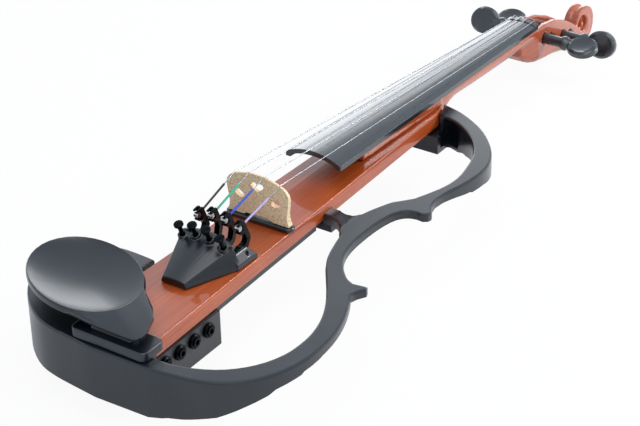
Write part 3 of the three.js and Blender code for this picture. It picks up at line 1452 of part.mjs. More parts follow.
function addControls() {
  const outline = [];
  for (let i = 0; i < KNOB_RIBS * 2; i += 1) {
    const angle = (i / (KNOB_RIBS * 2)) * 2 * Math.PI;
    const radius = KNOB_RADIUS + (i % 2 ? KNOB_RIB : 0);
    outline.push([radius * Math.cos(angle), radius * Math.sin(angle)]);
  }
  const bottom = HOUSING_FLOOR + GAP;
  const disc = raised(outline, bottom, bottom + KNOB_THICKNESS).translate(CONTROL_X, CONTROL_KNOB_Y, 0);
  const shaftTop = FLOOR_TOP + KNOB_BOSS_RISE + CONTROL_HEIGHT - GAP;
  const shaft = bar(
    [CONTROL_X, CONTROL_KNOB_Y, bottom + KNOB_THICKNESS / 2],
    [CONTROL_X, CONTROL_KNOB_Y, shaftTop],
    KNOB_SHAFT_RADIUS,
  );
  const mark = block(
    [CONTROL_X - KNOB_RIB, CONTROL_KNOB_Y + KNOB_RADIUS / 3, bottom - OVERRUN],
    [CONTROL_X + KNOB_RIB, CONTROL_KNOB_Y + KNOB_RADIUS, bottom + KNOB_RIB],
  );
  addPart("volume_knob", "grey_plastic", geometryOf(joined([disc, shaft]).subtract(solidOf(mark))));
  const base = FLOOR_TOP + KNOB_BOSS_RISE + GAP;
  const can = block(
    [CONTROL_X - CONTROL_HALF, CONTROL_KNOB_Y - CONTROL_HALF, base],
    [CONTROL_X + CONTROL_HALF, CONTROL_KNOB_Y + CONTROL_HALF, base + CONTROL_HEIGHT],
  );
  const canHole = bar(
    [CONTROL_X, CONTROL_KNOB_Y, base - OVERRUN],
    [CONTROL_X, CONTROL_KNOB_Y, base + CONTROL_HEIGHT + OVERRUN],
    KNOB_SHAFT_RADIUS + GAP,
  );
  addPart("volume_control", "nickel", geometryOf(solidOf(can).subtract(solidOf(canHole))));
  const button = block(
    [CONTROL_X - SWITCH_WIDTH / 2, CONTROL_SWITCH_Y - SWITCH_LENGTH / 2, HOUSING_FLOOR + GAP],
    [CONTROL_X + SWITCH_WIDTH / 2, CONTROL_SWITCH_Y + SWITCH_LENGTH / 2, FLOOR_TOP + 2 * GAP],
  );
  const flange = block(
    [CONTROL_X - SWITCH_FLANGE_HALF, CONTROL_SWITCH_Y - SWITCH_LENGTH / 2, FLOOR_TOP + GAP],
    [CONTROL_X + SWITCH_FLANGE_HALF, CONTROL_SWITCH_Y + SWITCH_LENGTH / 2, FLOOR_TOP + GAP + SWITCH_FLANGE],
  );
  addPart("power_switch", "grey_plastic", geometryOf(joined([button, flange])));
  const bodyBottom = FLOOR_TOP + 2 * GAP + SWITCH_FLANGE;
  const bodyEnd = CONTROL_SWITCH_Y + SWITCH_LENGTH + SWITCH_TRAVEL;
  const body = block(
    [CONTROL_X - SWITCH_DISH_HALF, CONTROL_SWITCH_Y - SWITCH_LENGTH, bodyBottom],
    [CONTROL_X + SWITCH_DISH_HALF, bodyEnd, bodyBottom + SWITCH_BODY_HEIGHT],
  );
  addPart("switch_body", "nickel", body);
}

// Tailpiece: an arched hood over the tuner levers, with a wing on each side that carries their rod
function tailpieceHalf(share) {
  return mix(TAILPIECE_LOW_HALF, TAILPIECE_RIDGE_HALF, share);
}

function tailpieceRing(y, skin) {
  const share = (y + TAILPIECE_LOW_END) / (TAILPIECE_LOW_END - TAILPIECE_RIDGE);
  const top = tailpieceHalf(share) - skin;
  const base = top + TAILPIECE_FLARE * share + TAILPIECE_BASE_STEP;
  const edge = mix(TAILPIECE_LOW_HEIGHT, TAILPIECE_EDGE_HEIGHT, share) - skin;
  const crown = mix(TAILPIECE_LOW_CROWN, TAILPIECE_CROWN, share);
  const points = [new THREE.Vector3(base, y, skin ? -OVERRUN : GAP)];
  if (!skin) points.push(new THREE.Vector3(base, y, GAP + TAILPIECE_SKIN / 2));
  for (let i = 0; i <= TAILPIECE_ARC_STEPS; i += 1) {
    const x = mix(top, -top, i / TAILPIECE_ARC_STEPS);
    points.push(new THREE.Vector3(x, y, edge + crown * (1 - (x / top) ** 2)));
  }
  if (!skin) points.push(new THREE.Vector3(-base, y, GAP + TAILPIECE_SKIN / 2));
  points.push(new THREE.Vector3(-base, y, skin ? -OVERRUN : GAP));
  return points;
}

function screwWay() {
  const lean = THREE.MathUtils.degToRad(TUNER_LEAN);
  return new THREE.Vector3(0, -Math.sin(lean), Math.cos(lean));
}

// The point on a tuner screw's axis at a height over the core.
function onScrew(i, z) {
  const way = screwWay();
  const head = TUNER_HEAD_Z + tunerLift(i);
  return [tunerPlace(i), TUNER_HEAD_Y + ((z - head) * way.y) / way.z, z];
}

function hoodTop(x, y) {
  const share = (y + TAILPIECE_LOW_END) / (TAILPIECE_LOW_END - TAILPIECE_RIDGE);
  const top = tailpieceHalf(share);
  const crown = mix(TAILPIECE_LOW_CROWN, TAILPIECE_CROWN, share);
  return mix(TAILPIECE_LOW_HEIGHT, TAILPIECE_EDGE_HEIGHT, share) + crown * (1 - (x / top) ** 2);
}

function addTailpiece() {
  const hood = solidOf(loft([tailpieceRing(-TAILPIECE_LOW_END, 0), tailpieceRing(-TAILPIECE_RIDGE, 0)]));
  const roomStart = -TAILPIECE_LOW_END + TAILPIECE_SOLID_END;
  const roomEnd = -TAILPIECE_RIDGE + OVERRUN;
  const room = solidOf(loft([roomStart, roomEnd].map((y) => tailpieceRing(y, TAILPIECE_SKIN))));
  const wingInner = TUNER_SPREAD / 2 + LEVER_WIDTH / 2 + 2 * GAP;
  const wingOuter = TAILPIECE_RIDGE_HALF + TAILPIECE_FLARE + TAILPIECE_BASE_STEP;
  const wingSide = [
    [-TAILPIECE_RIDGE - TAILPIECE_SKIN, GAP],
    [-TAILPIECE_WING_END, GAP],
    [-TAILPIECE_WING_END, TAILPIECE_SKIN],
    [LEVER_PIVOT_Y + ROD_RADIUS * 2, TAILPIECE_WING_HEIGHT],
    [-TAILPIECE_RIDGE - TAILPIECE_SKIN, TAILPIECE_WING_HEIGHT],
  ];
  const wing = (side) => {
    const full = wingSide.map(([y, z]) => new THREE.Vector3(side * wingInner, y, z));
    const low = ([y, z]) => new THREE.Vector3(side * wingOuter, y, Math.min(z, WING_EDGE));
    const brow = wingSide.map(([y, z]) => new THREE.Vector3(side * (wingOuter - WING_SLOPE), y, z));
    return loft([full, brow, wingSide.map(low)]);
  };
  const wings = [wing(1), wing(-1)];
  const ridge = across(
    Array.from({ length: 2 * TAILPIECE_ARC_STEPS + 2 }, (_, i) => {
      const half = TAILPIECE_RIDGE_HALF;
      const under = i > TAILPIECE_ARC_STEPS;
      const step = under ? 2 * TAILPIECE_ARC_STEPS + 1 - i : i;
      const x = mix(half, -half, step / TAILPIECE_ARC_STEPS);
      return [x, hoodTop(x, -TAILPIECE_RIDGE) + (under ? -TAILPIECE_SKIN : RIDGE_RISE)];
    }),
    -TAILPIECE_RIDGE - RIDGE_WIDTH,
    -TAILPIECE_RIDGE,
  );
  const bosses = [0, 1, 2, 3].map((i) => {
    const [x, y] = onScrew(i, TAILPIECE_EDGE_HEIGHT);
    const z = hoodTop(x, y);
    return bar(onScrew(i, z - TAILPIECE_SKIN), onScrew(i, z + TUNER_BOSS_RISE), TUNER_BOSS_RADIUS, 14);
  });
  const holes = [0, 1, 2, 3].map((i) =>
    bar(onScrew(i, TUNER_TIP_Z), onScrew(i, TUNER_HEAD_Z), TUNER_STEM_RADIUS + GAP, 12),
  );
  const rodHole = bar(
    [-wingOuter - OVERRUN, LEVER_PIVOT_Y, LEVER_PIVOT_Z],
    [wingOuter + OVERRUN, LEVER_PIVOT_Y, LEVER_PIVOT_Z],
    ROD_RADIUS + GAP,
    12,
  );
  const whole = hood.subtract(room).add(joined([...wings, ridge, ...bosses]));
  const cuts = [...holes, rodHole].map(solidOf);
  addPart("tailpiece", "black_resin", geometryOf(without(whole, [...cuts, ...roomsFor("tailpiece")])));
  const rodEnd = wingOuter - WING_SLOPE + GAP;
  addPart(
    "lever_rod",
    "nickel",
    bar([-rodEnd, LEVER_PIVOT_Y, LEVER_PIVOT_Z], [rodEnd, LEVER_PIVOT_Y, LEVER_PIVOT_Z], ROD_RADIUS, 12),
  );
}

// The ball end lies behind the two prongs of its lever.
function ballPlace(i) {
  return [tunerPlace(i), LEVER_PIVOT_Y + BALL_FROM_PIVOT_Y, LEVER_PIVOT_Z + BALL_FROM_PIVOT_Z + tunerLift(i)];
}

function addTuner(i) {
  const name = STRING_NAMES[i];
  const x = tunerPlace(i);
  const lift = tunerLift(i);
  const outline = LEVER_SHARES.map(([y, z]) => [
    LEVER_PIVOT_Y + y * LEVER_REACH,
    LEVER_PIVOT_Z + z * (HOOK_TOP_Z - LEVER_PIVOT_Z) + (z > LEVER_LIFT_SHARE ? lift : 0),
  ]);
  const front = solidOf(sideways(outline, x - LEVER_WIDTH / 2, x + LEVER_WIDTH / 2)).intersect(
    solidOf(block([x - LEVER_WIDTH, LEVER_REAR_START, 0], [x + LEVER_WIDTH, 0, HOOK_TOP_Z * 2])),
  );
  const rear = sideways(outline, x - LEVER_REAR_WIDTH / 2, x + LEVER_REAR_WIDTH / 2);
  const onRod = (reach) => [x + reach, LEVER_PIVOT_Y, LEVER_PIVOT_Z];
  const hub = bar(onRod(-LEVER_WIDTH / 2), onRod(LEVER_WIDTH / 2), LEVER_HUB_RADIUS);
  const hole = bar(onRod(-LEVER_WIDTH), onRod(LEVER_WIDTH), ROD_RADIUS + GAP, 12);
  const ball = ballPlace(i);
  const slot = block(
    [x - LEVER_SLOT / 2, ball[1] - OVERRUN, ball[2] - LEVER_SLOT],
    [x + LEVER_SLOT / 2, LEVER_PIVOT_Y + LEVER_REACH + OVERRUN, ball[2] + OVERRUN * 3],
  );
  const lever = without(front.add(joined([rear, hub])), [solidOf(hole), solidOf(slot)]);
  addPart(`tuner_lever_${name}`, "black_metal", geometryOf(lever));

  const way = screwWay();
  const head = onScrew(i, TUNER_HEAD_Z + lift);
  const tip = onScrew(i, TUNER_TIP_Z);
  const length = new THREE.Vector3(...head).distanceTo(new THREE.Vector3(...tip));
  const profile = [
    [0, 0],
    [TUNER_STEM_RADIUS * TUNER_TIP_SHARE, 0],
    [TUNER_STEM_RADIUS, TUNER_STEM_RADIUS],
    [TUNER_STEM_RADIUS, length - TUNER_HEAD_THICKNESS],
    [TUNER_HEAD_RADIUS - TUNER_HEAD_ROUND, length - TUNER_HEAD_THICKNESS],
    [TUNER_HEAD_RADIUS, length - TUNER_HEAD_THICKNESS + TUNER_HEAD_ROUND],
    [TUNER_HEAD_RADIUS, length - TUNER_HEAD_ROUND],
    [TUNER_HEAD_RADIUS - TUNER_HEAD_ROUND, length],
    [0, length - TUNER_HEAD_DISH],
  ];
  addPart(`tuner_screw_${name}`, "black_metal", turned(profile, tip, way, 14));

  const half = BALL_LENGTH / 2;
  const spool = [
    [0, -half],
    [BALL_RADIUS, -half],
    [BALL_RADIUS, -half * BALL_FLANGE_SHARE],
    [BALL_RADIUS * BALL_FLANGE_SHARE, 0],
    [BALL_RADIUS, half * BALL_FLANGE_SHARE],
    [BALL_RADIUS, half],
    [0, half],
  ];
  addPart(`ball_end_${name}`, "nickel", turned(spool, ball, X_AXIS, 16));
}

// A round wire along hand-set points, closed at both ends
function wire(points, radius) {
  const places = points.map((p) => new THREE.Vector3(...p));
  const ways = places.map((p, i) => {
    const before = places[Math.max(0, i - 1)];
    const after = places[Math.min(places.length - 1, i + 1)];
    return after.clone().sub(before).normalize();
  });
  let side = X_AXIS.clone();
  const rings = places.map((p, i) => {
    side = side.sub(ways[i].clone().multiplyScalar(side.dot(ways[i]))).normalize();
    const up = ways[i].clone().cross(side);
    return Array.from({ length: STRING_SIDES }, (_, n) => {
      const angle = (n / STRING_SIDES) * 2 * Math.PI;
      return p
        .clone()
        .add(side.clone().multiplyScalar(radius * Math.cos(angle)))
        .add(up.clone().multiplyScalar(radius * Math.sin(angle)));
    });
  });
  return loft(rings);
}

function pegRadiusAt(side, y, x) {
  const reach = cheekHalf(y) + OVERRUN;
  return mix(PEG_NECK_RADIUS, PEG_TIP_RADIUS, (reach - side * x) / (2 * reach));
}

// A string runs from its ball end over the bridge and the nut to the windings on its peg.
function addString(i) {
  const name = STRING_NAMES[i];
  const radius = STRING_GAUGES[i] / 2;
  const peg = PEGS.find((one) => one.name === name);
  const ball = ballPlace(i);
  const bridgeX = stringAtBridge(i);
  const nutX = stringAtNut(i);
  const bridgeZ = bridgeCrown(bridgeX) + GAP + radius;
  const nutZ = nutCrown(nutX) + GAP + radius;
  const startX = PEGBOX_HALF * WINDING_SHARES[i];
  const pegZ = pegHeight(peg.y);
  const wound = pegRadiusAt(peg.side, peg.y, startX) + GAP + radius;
  const route = [
    [ball[0], ball[1] + BALL_RADIUS + GAP, ball[2]],
    [bridgeX, -BRIDGE_FOOT_THICKNESS / 2, bridgeZ - radius / 2],
    [bridgeX, 0, bridgeZ],
    [nutX, STRING_LENGTH, nutZ],
    [nutX, STRING_LENGTH + NUT_WIDTH, nutZ],
  ];
  const fall = Math.atan2(nutZ - pegZ - wound, peg.y - STRING_LENGTH - NUT_WIDTH);
  const start = Math.PI / 2 - fall;
  const steps = Math.round(WINDINGS * WINDING_STEPS);
  for (let n = 0; n <= steps; n += 1) {
    const angle = start - (n / WINDING_STEPS) * 2 * Math.PI;
    const x = startX - Math.sign(startX) * (n / WINDING_STEPS) * (STRING_GAUGES[i] + GAP / 2);
    route.push([x, peg.y + wound * Math.cos(angle), pegZ + wound * Math.sin(angle)]);
  }
  addPart(`string_${name}`, "string_wire", wire(route, radius));
}

function addPeg({ name, side, y }) {
  const reach = cheekHalf(y) + OVERRUN;
  const away = X_AXIS.clone().multiplyScalar(side);
  const z = pegHeight(y);
  const tip = -cheekHalf(y) - PEG_TIP_REACH;
  const headHalf = PEG_HEAD_RADIUS * PEG_HEAD_LONG_SHARE;
  const neck = PEG_REACHES[name] - headHalf;
  const radiusAt = (x) => mix(PEG_NECK_RADIUS, PEG_TIP_RADIUS, (reach - x) / (2 * reach));
  const profile = [
    [0, tip],
    [radiusAt(tip), tip],
    [radiusAt(reach), reach],
    [PEG_NECK_RADIUS, neck - PEG_COLLAR * 2],
    [PEG_COLLAR_RADIUS, neck - PEG_COLLAR - PEG_COLLAR / 3],
    [PEG_COLLAR_RADIUS, neck - PEG_COLLAR / 2],
    [PEG_NECK_RADIUS, neck],
    [PEG_NECK_RADIUS, neck + PEG_COLLAR],
    [0, neck + PEG_COLLAR],
  ];
  const shank = turned(profile, [0, y, z], away, 14);
  const disc = [
    [0, -PEG_HEAD_THICKNESS / 2 + PEG_HEAD_DISH],
    [PEG_HEAD_RADIUS * PEG_HEAD_DISH_SHARE, -PEG_HEAD_THICKNESS / 2 + PEG_HEAD_DISH / 2],
    [PEG_HEAD_RADIUS - PEG_HEAD_DISH, -PEG_HEAD_THICKNESS / 2],
    [PEG_HEAD_RADIUS, -PEG_HEAD_THICKNESS / 4],
    [PEG_HEAD_RADIUS, PEG_HEAD_THICKNESS / 4],
    [PEG_HEAD_RADIUS - PEG_HEAD_DISH, PEG_HEAD_THICKNESS / 2],
    [PEG_HEAD_RADIUS * PEG_HEAD_DISH_SHARE, PEG_HEAD_THICKNESS / 2 - PEG_HEAD_DISH / 2],
    [0, PEG_HEAD_THICKNESS / 2 - PEG_HEAD_DISH],
  ];
  const turn = THREE.MathUtils.degToRad(PEG_TURNS[name]);
  const facing = new THREE.Vector3(0, Math.sin(turn), Math.cos(turn));
  const head = turned(disc, [0, 0, 0], facing, 24).scale(PEG_HEAD_LONG_SHARE, 1, 1);
  head.translate(side * PEG_REACHES[name], y, z);
  addPart(`peg_${name}`, "ebony", geometryOf(joined([shank, head])));
}

// Chin rest: an oval dish whose plate goes on as a foot over the tail, on a pad on the frame
function restOutline(angle) {
  const turn = THREE.MathUtils.degToRad(REST_TURN);
  const c = Math.cos(angle - turn) / REST_LONG;
  const s = Math.sin(angle - turn) / REST_SHORT;
  return 1 / Math.hypot(c, s);
}

// The flange's edge around the dish's centre
const FLANGE_EDGE = REST_FLANGE_EDGE_SHARES.map(([x, y]) => [x * REST_LONG, y * REST_LONG]);

// The distance from the dish's centre to the flange's edge, and nothing where there is no flange
function flangeReach(angle) {
  const c = Math.cos(angle);
  const s = Math.sin(angle);
  for (let i = 0; i < FLANGE_EDGE.length - 1; i += 1) {
    const [x1, y1] = FLANGE_EDGE[i];
    const [x2, y2] = FLANGE_EDGE[i + 1];
    const before = c * y1 - s * x1;
    const after = c * y2 - s * x2;
    const ahead = c * x1 + s * y1 > 0;
    if (ahead && before <= 0 && after > 0) {
      return (x1 * y2 - y1 * x2) / (c * (y2 - y1) - s * (x2 - x1));
    }
  }
  return 0;
}

function restReach(angle) {
  return Math.max(restOutline(angle) * REST_FLANGE_SHARE, flangeReach(angle));
}

// Even steps around the dish, with the flange's corners among them
function restAngles() {
  const full = 2 * Math.PI;
  const corners = FLANGE_EDGE.map(([x, y]) => (Math.atan2(y, x) + full) % full);
  const near = full / REST_SIDES / 2;
  const apart = (a, b) => Math.abs(((a - b + full + Math.PI) % full) - Math.PI);
  const even = Array.from({ length: REST_SIDES }, (_, i) => (i / REST_SIDES) * full);
  const free = even.filter((angle) => corners.every((corner) => apart(angle, corner) > near));
  return [...free, ...corners].sort((a, b) => a - b);
}

function addChinRest() {
  const angles = restAngles();
  const ringOf = (reach, height) =>
    angles.map((angle) => {
      const x = REST_CENTRE_X + reach(angle) * Math.cos(angle);
      const y = REST_CENTRE_Y + reach(angle) * Math.sin(angle);
      return new THREE.Vector3(x, y, height(angle));
    });
  const edgeTop = (angle) => {
    const beyond = restReach(angle) - restOutline(angle) * REST_FLANGE_SHARE;
    const slope = Math.min(1, beyond / REST_SLOPE);
    return mix(REST_RIM_HEIGHT - REST_EDGE / 4, REST_FOOT_TOP, slope);
  };
  const dish = REST_DISH_SHARES.map((share) =>
    ringOf(
      (angle) => restOutline(angle) * share,
      () => REST_RIM_HEIGHT - REST_DISH_DEPTH * (1 - share * share) ** REST_DISH_POWER,
    ),
  );
  const rings = [
    ...dish,
    ringOf(
      (angle) => mix(restOutline(angle), restReach(angle), REST_KEEL_SHARE),
      edgeTop,
    ),
    ringOf(restReach, (angle) => edgeTop(angle) - REST_EDGE / 4),
    ringOf(restReach, (angle) => edgeTop(angle) - REST_EDGE),
    ringOf(
      (angle) => restReach(angle) * REST_KEEL_SHARE,
      () => REST_UNDERSIDE,
    ),
  ];
  const plate = solidOf(loft(rings));
  const boss = solidOf(
    raised(
      roundedPlan(
        REST_SCREW_FIRST - REST_BOSS,
        REST_SCREW_SECOND + REST_BOSS,
        REST_SCREW_Y - REST_BOSS,
        REST_SCREW_Y + REST_BOSS,
        REST_BOSS / 2,
      ),
      PAD_HEIGHT + 2 * GAP,
      REST_UNDERSIDE + REST_EDGE / 2,
    ),
  );
  addPart("chin_rest", "black_resin", geometryOf(without(plate.add(boss), roomsFor("chin_rest_screw"))));
}

function addPad() {
  const outer = -TAIL_LENGTH + FRAME_ROUND + PAD_INSET;
  const plan = roundedPlan(-PAD_LEFT, PAD_RIGHT, outer, TAIL_EDGE - GAP, PAD_ROUND);
  const solid = new THREE.ExtrudeGeometry(shapeOf(plan), {
    depth: PAD_HEIGHT - FRAME_ROUND,
    bevelThickness: FRAME_ROUND / 2,
    bevelSize: FRAME_ROUND / 2,
    bevelOffset: -FRAME_ROUND / 2,
    bevelSegments: 2,
  });
  const pad = solidOf(solid.translate(0, 0, GAP + FRAME_ROUND / 2));
  addPart("chin_rest_pad", "black_resin", geometryOf(without(pad, roomsFor("chin_rest_screw"))));
}

addCore();
addNeck();
addFingerboard();
addNut();
addFrame();
addHousing();
addBatteryDoor();
addElectronics();
addJacks();
addControls();
addBridge();
addPickupBar();
addTailpiece();
STRING_NAMES.forEach((_, i) => addTuner(i));
STRING_NAMES.forEach((_, i) => addString(i));
PEGS.forEach(addPeg);
addPad();
addChinRest();
Object.entries(SCREWS).forEach(([name, [at, direction, length]]) => {
  addPart(name, "black_metal", screw(at, direction, length));
});

// The part's own frame: the middle of its box across and along, and the lowest point below
const box = new THREE.Box3().setFromObject(violin);
violin.position.set(-(box.min.x + box.max.x) / 2, -(box.min.y + box.max.y) / 2, -box.min.z);

export default violin;
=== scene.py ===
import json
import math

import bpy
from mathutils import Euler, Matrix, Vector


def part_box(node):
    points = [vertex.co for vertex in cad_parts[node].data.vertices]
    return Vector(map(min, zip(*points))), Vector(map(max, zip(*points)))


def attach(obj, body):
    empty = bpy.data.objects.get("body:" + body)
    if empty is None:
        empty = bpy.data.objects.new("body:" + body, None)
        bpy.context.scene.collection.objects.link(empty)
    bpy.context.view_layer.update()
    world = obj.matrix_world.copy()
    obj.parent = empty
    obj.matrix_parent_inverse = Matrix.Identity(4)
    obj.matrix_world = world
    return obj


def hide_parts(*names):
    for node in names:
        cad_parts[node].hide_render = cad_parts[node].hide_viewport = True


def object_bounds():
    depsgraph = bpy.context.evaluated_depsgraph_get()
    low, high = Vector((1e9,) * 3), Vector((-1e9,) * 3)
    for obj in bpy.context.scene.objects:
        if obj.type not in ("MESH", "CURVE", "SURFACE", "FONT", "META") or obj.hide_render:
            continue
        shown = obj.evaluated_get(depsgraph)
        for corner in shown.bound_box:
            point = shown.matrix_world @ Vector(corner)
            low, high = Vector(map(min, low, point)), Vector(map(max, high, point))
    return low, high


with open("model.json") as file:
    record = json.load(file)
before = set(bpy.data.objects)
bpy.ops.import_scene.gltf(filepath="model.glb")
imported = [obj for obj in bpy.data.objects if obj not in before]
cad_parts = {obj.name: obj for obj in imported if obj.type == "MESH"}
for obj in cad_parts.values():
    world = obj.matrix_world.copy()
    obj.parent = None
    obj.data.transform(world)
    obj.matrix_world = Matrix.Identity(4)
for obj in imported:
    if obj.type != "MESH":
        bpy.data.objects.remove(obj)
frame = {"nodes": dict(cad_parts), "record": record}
cad_low, cad_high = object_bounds()

# Electric violin: varnished wood core and neck, moulded black outline frame, satin black fittings.
# Lengths are in millimetres from the foot of the bridge, on top of the core: X to the treble side,
# Y to the scroll, Z up. place() turns them into the frame's metres. Lamps are in the frame's metres.

MM = 0.001

# The core is the ruler: its middle, its tail end and its top face carry the drawing's zero.
CORE_TAIL = 141  # from the bridge back to the core's tail end
core_low, core_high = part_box("wood_body")
ORIGIN = Vector((
    (core_low.x + core_high.x) / 2,
    core_low.y + CORE_TAIL * MM,
    core_high.z,
))


def place(x, y, z):
    return ORIGIN + Vector((x, y, z)) * MM


# Camera fitted to the photograph: tail toward us, scroll far off at the upper right
CAMERA_PLACE = (640.15, -857.91, 632.04)
CAMERA_TURNS = (59.4516, 1.307, 34.2368)  # degrees about X, Y and Z

camera = bpy.data.objects.new("camera", bpy.data.cameras.new("camera"))
bpy.context.scene.collection.objects.link(camera)
camera.location = place(*CAMERA_PLACE)
camera.rotation_euler = Euler([math.radians(turn) for turn in CAMERA_TURNS])
camera.data.lens = 113.22
camera.data.shift_x = 0.0115
camera.data.shift_y = 0.0096
camera.data.clip_end = 20
bpy.context.scene.camera = camera
bpy.context.scene.view_settings.view_transform = "Standard"


# Materials

def linear(colour):
    """An sRGB hex colour as linear red, green and blue, fully opaque."""
    parts = [int(colour[i:i + 2], 16) / 255 for i in (1, 3, 5)]
    return [p / 12.92 if p <= 0.04045 else ((p + 0.055) / 1.055) ** 2.4 for p in parts] + [1.0]


def add(tree, kind, inputs=None, stops=(), **settings):
    """Adds a node, with its settings, each input set or linked, and a colour ramp's stops."""
    made = tree.nodes.new(kind)
    for key, value in settings.items():
        setattr(made, key, value)
    for key, value in (inputs or {}).items():
        if isinstance(value, bpy.types.NodeSocket):
            tree.links.new(value, made.inputs[key])
        else:
            made.inputs[key].default_value = value
    for number, (position, colour) in enumerate(stops):
        elements = made.color_ramp.elements
        element = elements[number] if number < len(elements) else elements.new(position)
        element.position = position
        element.color = linear(colour)
    return made


def material(name):
    """An empty material, its node tree, and the piece's own coordinates in metres."""
    made = bpy.data.materials.new(name)
    made.use_nodes = True
    made.node_tree.nodes.clear()
    return made, made.node_tree, add(made.node_tree, "ShaderNodeTexCoord").outputs["Object"]


def varnished_maple():
    """Stained maple under clear gloss varnish: deep orange brown, with a mirror-like skin over the grain.

    The grain runs along the strings, its lines 1.5 mm apart, and slow clouds of stain lie over it.
    """
    made, tree, at = material("varnished_maple")
    along = add(tree, "ShaderNodeMapping", {"Vector": at, "Scale": (1, 0.03, 1)})
    grain = add(tree, "ShaderNodeTexNoise", {
        "Vector": along.outputs["Vector"], "Scale": 650, "Detail": 4, "Roughness": 0.6})
    cloud = add(tree, "ShaderNodeTexNoise", {"Vector": at, "Scale": 14, "Detail": 2})
    lines = add(tree, "ShaderNodeMath", {0: grain.outputs["Fac"], 1: 0.55}, operation="MULTIPLY")
    total = add(tree, "ShaderNodeMath", {0: cloud.outputs["Fac"], 1: 0.45, 2: lines.outputs[0]},
                operation="MULTIPLY_ADD")
    stain = add(tree, "ShaderNodeValToRGB", {"Fac": total.outputs[0]},
                stops=[(0.3, "#8c330a"), (0.5, "#a94612"), (0.72, "#c35a1d")])
    bump = add(tree, "ShaderNodeBump", {"Height": grain.outputs["Fac"], "Strength": 0.01, "Distance": 0.0002})
    varnish = add(tree, "ShaderNodeBsdfPrincipled", {
        "Base Color": stain.outputs["Color"], "Roughness": 0.45, "Normal": bump.outputs["Normal"],
        "Coat Weight": 1.0, "Coat Roughness": 0.06, "IOR": 1.5})
    add(tree, "ShaderNodeOutputMaterial", {"Surface": varnish.outputs["BSDF"]})
    return made


def moulded_abs(name, dark, light, roughness, grit):
    """Moulded ABS with a fine even spark texture, grit in mm: a soft sheen that changes every 45 mm.

    The true grit of 0.05 mm is too fine to show, so it is drawn ten times as coarse or more.
    """
    made, tree, at = material(name)
    spark = add(tree, "ShaderNodeTexNoise", {"Vector": at, "Scale": 1000 / grit, "Detail": 3})
    slow = add(tree, "ShaderNodeTexNoise", {"Vector": at, "Scale": 22, "Detail": 2})
    colour = add(tree, "ShaderNodeValToRGB", {"Fac": slow.outputs["Fac"]},
                 stops=[(0.35, dark), (0.65, light)])
    sheen = add(tree, "ShaderNodeMapRange", {
        "Value": slow.outputs["Fac"], "From Min": 0.3, "From Max": 0.7,
        "To Min": roughness - 0.03, "To Max": roughness + 0.04})
    bump = add(tree, "ShaderNodeBump", {
        "Height": spark.outputs["Fac"], "Strength": 0.08, "Distance": 0.00005})
    plastic = add(tree, "ShaderNodeBsdfPrincipled", {
        "Base Color": colour.outputs["Color"], "Roughness": sheen.outputs["Result"],
        "Normal": bump.outputs["Normal"], "IOR": 1.54, "Coat Weight": 0.3, "Coat Roughness": 0.2})
    add(tree, "ShaderNodeOutputMaterial", {"Surface": plastic.outputs["BSDF"]})
    return made


def polished_ebony():
    """Ebony, oiled and rubbed: near black, satin, with faint long pores.

    Real pores are 0.1 mm wide and wouldn't show, so they are drawn coarser, 0.4 mm apart.
    """
    made, tree, at = material("polished_ebony")
    along = add(tree, "ShaderNodeMapping", {"Vector": at, "Scale": (1, 0.02, 1)})
    pores = add(tree, "ShaderNodeTexNoise", {"Vector": along.outputs["Vector"], "Scale": 2400, "Detail": 3})
    slow = add(tree, "ShaderNodeTexNoise", {"Vector": at, "Scale": 18, "Detail": 1})
    colour = add(tree, "ShaderNodeValToRGB", {"Fac": pores.outputs["Fac"]},
                 stops=[(0.4, "#0e1216"), (0.62, "#1e252c")])
    sheen = add(tree, "ShaderNodeMapRange", {"Value": slow.outputs["Fac"], "To Min": 0.24, "To Max": 0.4})
    bump = add(tree, "ShaderNodeBump", {"Height": pores.outputs["Fac"], "Strength": 0.12, "Distance": 0.0001})
    wood = add(tree, "ShaderNodeBsdfPrincipled", {
        "Base Color": colour.outputs["Color"], "Roughness": sheen.outputs["Result"],
        "Normal": bump.outputs["Normal"], "IOR": 1.5, "Coat Weight": 0.8, "Coat Roughness": 0.14})
    add(tree, "ShaderNodeOutputMaterial", {"Surface": wood.outputs["BSDF"]})
    return made


def quarter_sawn_maple():
    """Bare quarter-sawn maple, scraped smooth: pale tan, peppered with small brown ray flecks.

    Real flecks are 1 mm apart. They are drawn coarser, 2.3 mm apart across and 1.4 mm up, over
    fibres of 0.7 mm that are also coarser than real ones, or neither would show.
    """
    made, tree, at = material("quarter_sawn_maple")
    squeezed = add(tree, "ShaderNodeMapping", {"Vector": at, "Scale": (1, 1, 1.7)}).outputs["Vector"]
    flecks = add(tree, "ShaderNodeTexVoronoi", {"Vector": squeezed, "Scale": 430, "Randomness": 1})
    fibres = add(tree, "ShaderNodeTexNoise", {"Vector": squeezed, "Scale": 1500, "Detail": 3})
    base = add(tree, "ShaderNodeValToRGB", {"Fac": fibres.outputs["Fac"]},
               stops=[(0.36, "#e6bf88"), (0.6, "#fff0cf")])
    spots = add(tree, "ShaderNodeValToRGB", {"Fac": flecks.outputs["Distance"]},
                stops=[(0.14, "#99693f"), (0.42, "#ffffff")])
    colour = add(tree, "ShaderNodeMix", {
        "Factor": 0.45, "A": base.outputs["Color"], "B": spots.outputs["Color"]},
        data_type="RGBA", blend_type="MULTIPLY")
    bump = add(tree, "ShaderNodeBump", {
        "Height": flecks.outputs["Distance"], "Strength": 0.1, "Distance": 0.0001})
    wood = add(tree, "ShaderNodeBsdfPrincipled", {
        "Base Color": colour.outputs["Result"], "Roughness": 0.5, "Normal": bump.outputs["Normal"]})
    add(tree, "ShaderNodeOutputMaterial", {"Surface": wood.outputs["BSDF"]})
    return made


